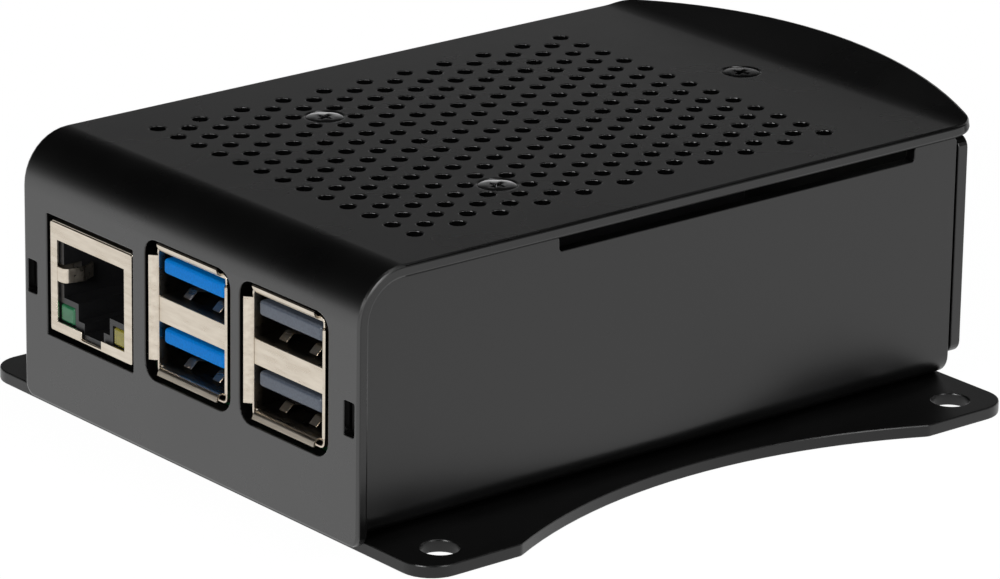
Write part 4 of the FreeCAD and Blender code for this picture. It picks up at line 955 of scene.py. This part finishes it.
# %% Network socket
JACK = -18.6
JACK_LEFT, JACK_RIGHT, JACK_FOOT = JACK - 8.0, JACK + 8.0, 10.5
mouth = [
    (JACK - 6.7, 11.75), (JACK - 2.0, 11.75), (JACK - 2.0, 10.72), (JACK + 1.9, 10.72),
    (JACK + 1.9, 11.75), (JACK + 6.5, 11.75), (JACK + 6.5, 21.8), (JACK - 6.7, 21.8),
]
frame_outline = window(JACK_LEFT, JACK_FOOT, JACK_RIGHT, 23.85, 0.25, 3)
jack_frame = sheet(frame_outline, [mouth], 0.3, stood_at(-45.8), rim=0.05)
jack_outline = (JACK_LEFT, JACK_FOOT, JACK_RIGHT, 24.0)
jack_box = tube(jack_outline, 0.35, 0.2, 3, 21.1, stood_at(-45.6))
jack_back = block((JACK - 7.8, -24.8, 10.6), (JACK + 7.8, -24.5, 23.9), 0.05)
tab_path = [(JACK - 6.9, -45.5), (JACK - 5.5, -45.5), (JACK - 5.0, -43.2), (JACK - 5.8, -41.5)]
jack_tab = strip(bend_path(tab_path, 0.5), -0.25, 16.7, 18.55, lambda a, b, w: (a, b, w))
shapes = [jack_frame, jack_box, jack_back, jack_tab]
piece("network_shell", shapes, shell_nickel, "network_socket_shell")

# %% Light guides
node_block("link_lens", green_lens, 0.35, "link_light", steps=3)
node_block("traffic_lens", yellow_lens, 0.3, "traffic_light", steps=3)
dress("network_socket_insert", socket_black)

# %% [markdown]
# ## The stacked serial ports
# Each stack is a drawn steel box with two bays. Its rim is split at the corners and
# flared outward into four lips, so that a plug slides in easily. In each bay a plastic
# tongue carries the contacts, and sprung fingers press on the plug's shell.

# %% A port stack
LEVELS = (11.85, 20.25)


def across(a, b, width):
    """A band that is as wide as the case is, along a path of (y, z)."""
    return width, a, b


def port_lips(middle):
    """Four flared lips round the mouth of a port shell."""
    lips = []
    for foot, tip, gauge in ((26.2, 26.85, 0.3), (11.55, 10.85, -0.3)):
        path = bend_path([(-44.0, foot), (-45.6, foot), (-45.85, tip)], 0.3)
        lips.append(strip(path, gauge, middle - 5.65, middle + 5.65, across))
    edge = bend_path([(-44.0, 6.6), (-45.2, 6.6), (-45.85, 7.4)], 0.6)
    for sign in (-1, 1):
        lips.append(strip(edge, 0.3, 12.35, 25.1, lambda a, b, w: (middle + sign * b, a, w)))
    return lips


def port_springs(middle):
    """Fingers on the floor and on the right wall of each bay."""
    springs = []
    wall = bend_path([(-39.0, 6.2), (-43.4, 5.0), (-44.6, 6.1)], 0.9)
    for level in LEVELS:
        floor = bend_path([(-38.0, level), (-42.7, level + 1.15), (-43.7, level + 0.25)], 0.5)
        for x in (middle - 3.1, middle + 2.4):
            springs.append(strip(floor, 0.2, x - 0.7, x + 0.7, across))
        low, high = level + 0.7, level + 2.3
        springs.append(strip(wall, 0.2, low, high, lambda a, b, w: (middle + b, a, w)))
    return springs


def port_stack(name, node, middle):
    outline = (middle - 6.6, 10.75, middle + 6.6, 26.2)
    shapes = [tube(outline, 0.7, 0.5, 4, 17.5, stood_at(-45.3))]
    shapes.append(block((middle - 6.4, -28.1, 10.9), (middle + 6.4, -27.8, 26.1), 0.05))
    shapes.append(block((middle - 6.25, -45.3, 17.15), (middle + 6.25, -44.95, 20.25), 0.1))
    for z in (11.55, 17.15, 19.95, 25.55):
        shapes.append(block((middle - 6.25, -45.1, z), (middle + 6.25, -33.8, z + 0.3), 0.08))
    shapes += port_lips(middle)
    springs = piece(name + "_springs", port_springs(middle), shell_nickel)
    piece(name, shapes, port_nickel_painted_shade, node)


def port_tongues(name, node, middle, finish):
    shapes, contacts = [], []
    for level in LEVELS:
        low, high = level + 2.75, level + 4.6
        shapes.append(block((middle - 5.75, -45.05, low), (middle + 5.65, -33.0, high), 0.42, 3))
        back_low, back_high = level + 0.1, level + 5.2
        shapes.append(block((middle - 6.1, -33.9, back_low), (middle + 6.1, -28.3, back_high), 0.1))
        for x in (-3.5, -1.0, 1.0, 3.5):
            left, right = middle + x - 0.5, middle + x + 0.5
            contacts.append(block((left, -43.6, low - 0.08), (right, -35.0, low + 0.05), 0.04))
    piece(name, shapes, finish, node)
    wires = piece(name + "_contacts", contacts, contact_gold)


# %% Both port stacks
for kind, middle, finish in zip(("fast_port", "slow_port"), PORTS, (tongue_blue, tongue_grey)):
    port_stack(kind + "_metal", kind + "_shell", middle)
    port_tongues(kind + "_plastic", kind + "_tongues", middle, finish)
print("port stacks:", 2)

# %% [markdown]
# ## The fan
# It hangs under the cover by the two bright screws and shows only through the vents.
# The frame is a thick punched sheet with spokes under it. A blade is a curved strip
# that twists from steep at the hub to flat at the tip, copied seven times round.

# %% Fan frame
fan_low, fan_high = solid_box("fan_frame")
fan_outline = window(fan_low[0], fan_low[1], fan_high[0], fan_high[1], 3.0, 6)
fan_holes = [disc(x, FAN_Y + y, 3.4, 20) for x in (-16, 16) for y in (-16, 16)]
fan_holes.append(disc(0.0, FAN_Y, 37.7, 64))
fan_body = sheet(fan_outline, fan_holes, 10.0, hung_from(fan_high[2]), rim=0.4)
fan_spokes = []
for quarter in range(4):
    ahead = Vector((math.cos(quarter * math.pi / 2), math.sin(quarter * math.pi / 2)))
    left = Vector((-ahead.y, ahead.x)) * 1.2
    ends = [ahead * 8.0 + Vector((0, FAN_Y)), ahead * 19.2 + Vector((0, FAN_Y))]
    spots = [ends[0] - left, ends[1] + left, ends[0] + left, ends[1] - left]
    low = [min(s.x for s in spots), min(s.y for s in spots), fan_low[2] + 0.02]
    high = [max(s.x for s in spots), max(s.y for s in spots), fan_low[2] + 1.55]
    fan_spokes.append(block(low, high, 0.3))
hub_rings = [(2.52, 0.0), (8.7, 0.0), (9.0, 0.3), (9.0, 1.3), (8.7, 1.6), (2.52, 1.6), (2.52, 0.0)]
fan_hub = turned([(radius, fan_low[2] + z) for radius, z in hub_rings], 0.0, FAN_Y, 40)
piece("fan_housing", [fan_body, fan_hub] + fan_spokes, fan_plastic, "fan_frame")


# %% Fan rotor
def fan_blade(angle, columns=7, rows=8):
    """A cambered blade, twisted from root to tip."""
    corners, faces = [], []
    for side in (0, 1):
        for row in range(rows + 1):
            share = row / rows
            radius = 9.7 + 8.0 * share
            pitch = math.radians(44.0 - 14.0 * share)
            for column in range(columns + 1):
                along = (column / columns - 0.5) * (7.0 + 0.8 * share)
                off_middle = 2.0 * column / columns - 1.0
                arch = 0.9 * (1.0 - off_middle**2)
                thick = 0.42 * (1 - side) * (1.0 - 0.7 * abs(off_middle))
                around = along * math.cos(pitch) - (arch + thick) * math.sin(pitch)
                height = along * math.sin(pitch) + (arch + thick) * math.cos(pitch)
                swing = angle + around / radius
                x, y = radius * math.cos(swing), radius * math.sin(swing)
                corners.append((x, FAN_Y + y, 26.9 + height))
    wide = columns + 1
    count = (rows + 1) * wide
    for row in range(rows):
        for column in range(columns):
            a = row * wide + column
            quad = [a, a + 1, a + wide + 1, a + wide]
            faces.append(quad)
            faces.append([count + index for index in reversed(quad)])
    rim = [row * wide for row in range(rows + 1)]
    rim += [rows * wide + column for column in range(1, wide)]
    rim += [row * wide + columns for row in reversed(range(rows))]
    rim += list(reversed(range(1, columns)))
    for a, b in zip(rim, rim[1:] + rim[:1]):
        faces.append([a, b, count + b, count + a])
    return corners, faces


cup = [(0.001, 30.9), (9.4, 30.9), (9.85, 30.75), (10.0, 30.3), (10.0, 23.7)]
cup += [(8.8, 23.7), (8.8, 29.5), (1.0, 29.5), (1.0, 21.95), (0.001, 21.95)]
shapes = [turned(cup, 0.0, FAN_Y, 48)] + [fan_blade(2 * math.pi * k / 7) for k in range(7)]
piece("fan_wheel", shapes, fan_plastic, "fan_rotor", body="fan")
sleeve = [(1.04, 21.6), (2.4, 21.6), (2.5, 21.7), (2.5, 26.8), (2.4, 26.9), (1.04, 26.9)]
sleeve_ring = turned(sleeve + sleeve[:1], 0.0, FAN_Y, 32)
piece("fan_sleeve", [sleeve_ring], bearing_bronze, "fan_bearing")

# %% [markdown]
# ## The board
# A rounded rectangle of 1.5 mm laminate with four holes. The parts on it are moulded
# blocks of standard sizes, placed where their solids are.

# %% Board and chips
BOARD_TOP = 10.5
board_outline = window(-28.8, -42.8, 27.2, 42.2, 3.0, 6)
fixing_holes = [disc(x, y, 2.7, 20) for x, y in board_holes]
board_sheet = sheet(board_outline, fixing_holes, GAUGE, hung_from(BOARD_TOP), rim=0.05)
piece("board_laminate", [board_sheet], varnish, "circuit_board", folded=True)
for node, finish, ease in (
    ("memory_chip", chip_resin, 0.12),
    ("port_controller", chip_resin, 0.12),
    ("power_chip", chip_resin, 0.12),
    ("network_chip", chip_resin, 0.12),
    ("processor_carrier", varnish, 0.06),
    ("processor_lid", bright_zinc, 0.3),
    ("radio_shield", bright_zinc, 0.25),
    ("fan_socket", socket_cream, 0.15),
    ("expansion_socket", socket_cream, 0.15),
    ("status_lamp", lamp_cast, 0.15),
):
    node_block(node, finish, ease)


# %% Repeated parts of the board
def on_board(box, top, ease):
    """A block on the board, from left, front, right and rear."""
    left, front, right, rear = box
    return block((left, front, BOARD_TOP), (right, rear, top), ease)


coil_spots = [(10.5, 18.0), (14.5, 20.5), (20.5, 18.5), (38.5, 20.0)]
coils = [on_board((x - 30.3, 40.7 - y, x - 27.3, 43.7 - y), 12.3, 0.3) for x, y in coil_spots]
piece("power_coil_set", coils, chip_resin, "power_coils")
capacitor_ys = [24.0 + 2.4 * k for k in range(6)]
capacitors = [on_board((10.8, 41.6 - y, 11.6, 42.8 - y), 11.2, 0.1) for y in capacitor_ys]
piece("capacitor_set", capacitors, socket_cream, "capacitors")
ribbon_ys = (49.5, 54.8)
ribbons = [on_board((-25.8, 40.9 - y, -8.8, 43.5 - y), 13.1, 0.15) for y in ribbon_ys]
piece("ribbon_socket_set", ribbons, socket_cream, "camera_sockets")
latches = [on_board((-25.8, 43.55 - y, -8.8, 44.45 - y), 13.4, 0.2) for y in ribbon_ys]
piece("ribbon_latch_set", latches, socket_black, "camera_socket_latches")

# %% [markdown]
# ## Pins, pillars and small fixings
# The pins are square wire with chamfered tips. The pillars are hexagon brass bar with a
# round bore, and the screws through them have rounded pan heads.

# %% Pin header
pins, bars = [], []
for column in (51.23, 53.77):
    for step in range(20):
        x, y = column - 28.8, 34.3 - 2.54 * step
        pins.append(block((x - 0.32, y - 0.32, BOARD_TOP), (x + 0.32, y + 0.32, 19.0), 0.14, 1))
        for left, right in ((x - 1.24, x - 0.34), (x + 0.34, x + 1.24)):
            bars.append(block((left, y - 1.25, BOARD_TOP), (right, y + 1.25, 13.0), 0.12, 1))
piece("header_pin_set", pins, contact_gold, "header_pins")
piece("header_base", bars, socket_black, "pin_header")


# %% Pillars, screws and nuts
def hexagon_bar(x, y, low, high, flats=5.0, bore=2.6):
    turns = [math.pi / 3 * k for k in range(6)]
    reach = flats / math.sqrt(3)
    outline = [(x + reach * math.cos(t), y + reach * math.sin(t), 0.25) for t in turns]
    hole = disc(x, y, bore, 20)
    return sheet(soften(outline, 2), [hole], high - low, hung_from(high), rim=0.15)


def pan_screw(x, y, foot, head=4.6, height=1.6, thread=2.5, length=4.0):
    top, tip = foot + height, foot - length
    profile = [(0.001, top), (head * 0.3, top), (head * 0.46, foot + height * 0.75)]
    profile += [(head / 2, foot + height * 0.35), (head / 2, foot), (thread / 2, foot)]
    profile += [(thread / 2, tip + 0.3), (thread / 2 - 0.3, tip), (0.001, tip)]
    return turned(profile, x, y, 24)


pillars = [hexagon_bar(x, y, 3.0, 9.0) for x, y in board_holes]
piece("board_pillar_set", pillars, pillar_brass, "board_pillars")
pans = [pan_screw(x, y, BOARD_TOP) for x, y in board_holes]
board_screws = piece("board_screw_set", pans, bright_zinc, "board_screws")
for x, y in board_holes:
    carve(board_screws, wing_cutter(x, y, 12.1))
sunk = [(0.001, 0.05), (2.1, 0.05), (2.35, 0.25), (2.3, 0.45)]
sunk += [(1.25, 1.1), (1.25, 4.1), (0.001, 4.2)]
sunk_set = [turned(sunk, x, y, 28) for x, y in board_holes]
plate_screws = piece("plate_screw_set", sunk_set, black_oxide, "plate_screws")
for x, y in board_holes:
    cutter_corners, cutter_faces = wing_cutter(x, y, 0.0, 0.9)
    flipped = [(cx, cy, 0.05 - cz) for cx, cy, cz in cutter_corners]
    carve(plate_screws, (flipped, cutter_faces))
nuts = [hexagon_bar(x, y, 19.6, 21.6) for x, y in fan_screw_spots]
piece("fan_nut_set", nuts, bright_zinc, "fan_nuts")
clinch = [(1.3, 28.6), (2.6, 28.6), (2.8, 28.8), (2.8, 30.0), (2.2, 30.1), (2.2, 31.5), (1.3, 31.6)]
clinch_ring = turned(clinch + clinch[:1], *rear_screw_spot, 24)
piece("clinch_collar", [clinch_ring], bright_zinc, "clinch_nut")

# %% [markdown]
# ## Sockets on the left and the card end
# Small plated tubes with rounded corners and a black tongue inside, a slotted card
# holder under the board, and a tiny push switch behind its hole in the rear wall.


# %% Side sockets
def side_socket(y, width, height, depth, radius):
    """A tube in the left wall, and the plate that closes its far end."""
    front, rear, low = y - width / 2, y + width / 2, 10.6
    outline, hole_radius = (front, low, rear, low + height), max(radius - 0.3, 0.1)
    lift = lambda u, v, d: (-30.0 + d, u, v)
    shell = tube(outline, radius, hole_radius, 5, depth, lift, rim=0.08)
    back_low = (-30.2 + depth, front + 0.1, 10.7)
    back_high = (-30.0 + depth, rear - 0.1, 10.5 + height)
    return [shell, block(back_low, back_high, 0.05)]


power_shapes = side_socket(31.0, 8.9, 3.2, 7.3, 1.5)
piece("power_socket_metal", power_shapes, shell_nickel, "power_socket")
video_shapes = side_socket(16.4, 6.5, 3.0, 7.5, 0.6) + side_socket(3.0, 6.5, 3.0, 7.5, 0.6)
piece("video_socket_metal", video_shapes, shell_nickel, "video_sockets")
tongue_shapes = [
    block((-29.4, y - w * 0.36, z), (-23.8, y + w * 0.36, z + 0.7), 0.15)
    for y, w, z in ((31.0, 8.9, 11.85), (16.4, 6.5, 11.75), (3.0, 6.5, 11.75))
]
piece("side_socket_plastic", tongue_shapes, socket_black, "side_socket_tongues")

# %% Card holder and switch
dress("card_socket", shell_nickel)
dress("network_contacts", contact_gold)
dress("switch_case", bright_zinc)
node_block("switch_plunger", socket_black, 0.2, "switch_button", body="button")

# %% [markdown]
# ## Floor and light
# The photograph is a cut-out on white, so the floor is white to the camera and in
# reflections, with only a faint shadow. The room above is dim: the cover's top looks
# at it and stays dark, while the port face looks at the bright floor and turns grey.
# The room's tones follow height, tilted a little so that the rear is a touch darker.


# %% White floor
def white_floor(reach=2.5, level=-0.02 * MM):
    mesh = bpy.data.meshes.new("floor")
    spots = [(x * reach, y * reach, level) for x, y in ((-1, -1), (1, -1), (1, 1), (-1, 1))]
    mesh.from_pydata(spots, [], [(0, 1, 2, 3)])
    ground = bpy.data.objects.new("floor", mesh)
    bpy.context.scene.collection.objects.link(ground)
    paint = bpy.data.materials.new("floor_white")
    tree = fresh_tree(paint)
    matt = add_node(tree, "BsdfDiffuse", {"Color": (0.82, 0.82, 0.82, 1.0)}).outputs["BSDF"]
    glow = add_node(tree, "Emission", {"Strength": 1.03}).outputs["Emission"]
    rays = add_node(tree, "LightPath").outputs
    seen = calc(tree, "MAXIMUM", rays["Is Camera Ray"], rays["Is Glossy Ray"])
    seen = calc(tree, "MAXIMUM", seen, rays["Is Transmission Ray"])
    share = calc(tree, "MULTIPLY", seen, 0.955)
    blend = add_node(tree, "MixShader", {"Fac": share, 1: matt, 2: glow}).outputs["Shader"]
    add_node(tree, "OutputMaterial", {"Surface": blend})
    mesh.materials.append(paint)


white_floor()


# %% Dim room
def dim_room():
    """A room that is grey at the horizon and dark overhead."""
    world = bpy.data.worlds.new("room")
    bpy.context.scene.world = world
    tree = fresh_tree(world)
    looks = axes(tree, "Generated")
    rise = calc(tree, "MULTIPLY_ADD", looks["Y"], -0.06, looks["Z"])
    ramp = add_node(tree, "ValToRGB", {"Fac": rise})
    steps = ramp.color_ramp.elements
    steps[0].position, steps[0].color = 0.0, (1.0, 1.0, 1.0, 1.0)
    steps[1].position, steps[1].color = 1.0, (0.002, 0.002, 0.002, 1.0)
    for position, tone in ((0.07, 0.65), (0.17, 0.22), (0.24, 0.12), (0.29, 0.070), (0.38, 0.010)):
        steps.new(position).color = (tone, tone, tone, 1.0)
    glow = add_node(tree, "Background", {"Color": ramp.outputs["Color"]}).outputs["Background"]
    add_node(tree, "OutputWorld", {"Surface": glow})


dim_room()


# %% Soft lamps
def soft_lamp(name, spot, size, power):
    data = bpy.data.lights.new(name, "AREA")
    data.shape = "DISK"
    data.size = size
    data.energy = power
    lamp = bpy.data.objects.new(name, data)
    lamp.location = spot
    towards = Vector((0, 0, 0.015)) - Vector(spot)
    lamp.rotation_euler = towards.to_track_quat("-Z", "Y").to_euler()
    bpy.context.scene.collection.objects.link(lamp)


soft_lamp("overhead", (0.20, 0.20, 0.95), 0.50, 3.0)
soft_lamp("front_right", (0.30, -0.90, 0.40), 0.35, 5.0)
soft_lamp("right", (0.90, 0.05, 0.35), 0.35, 2.0)
print("lamps:", 3)
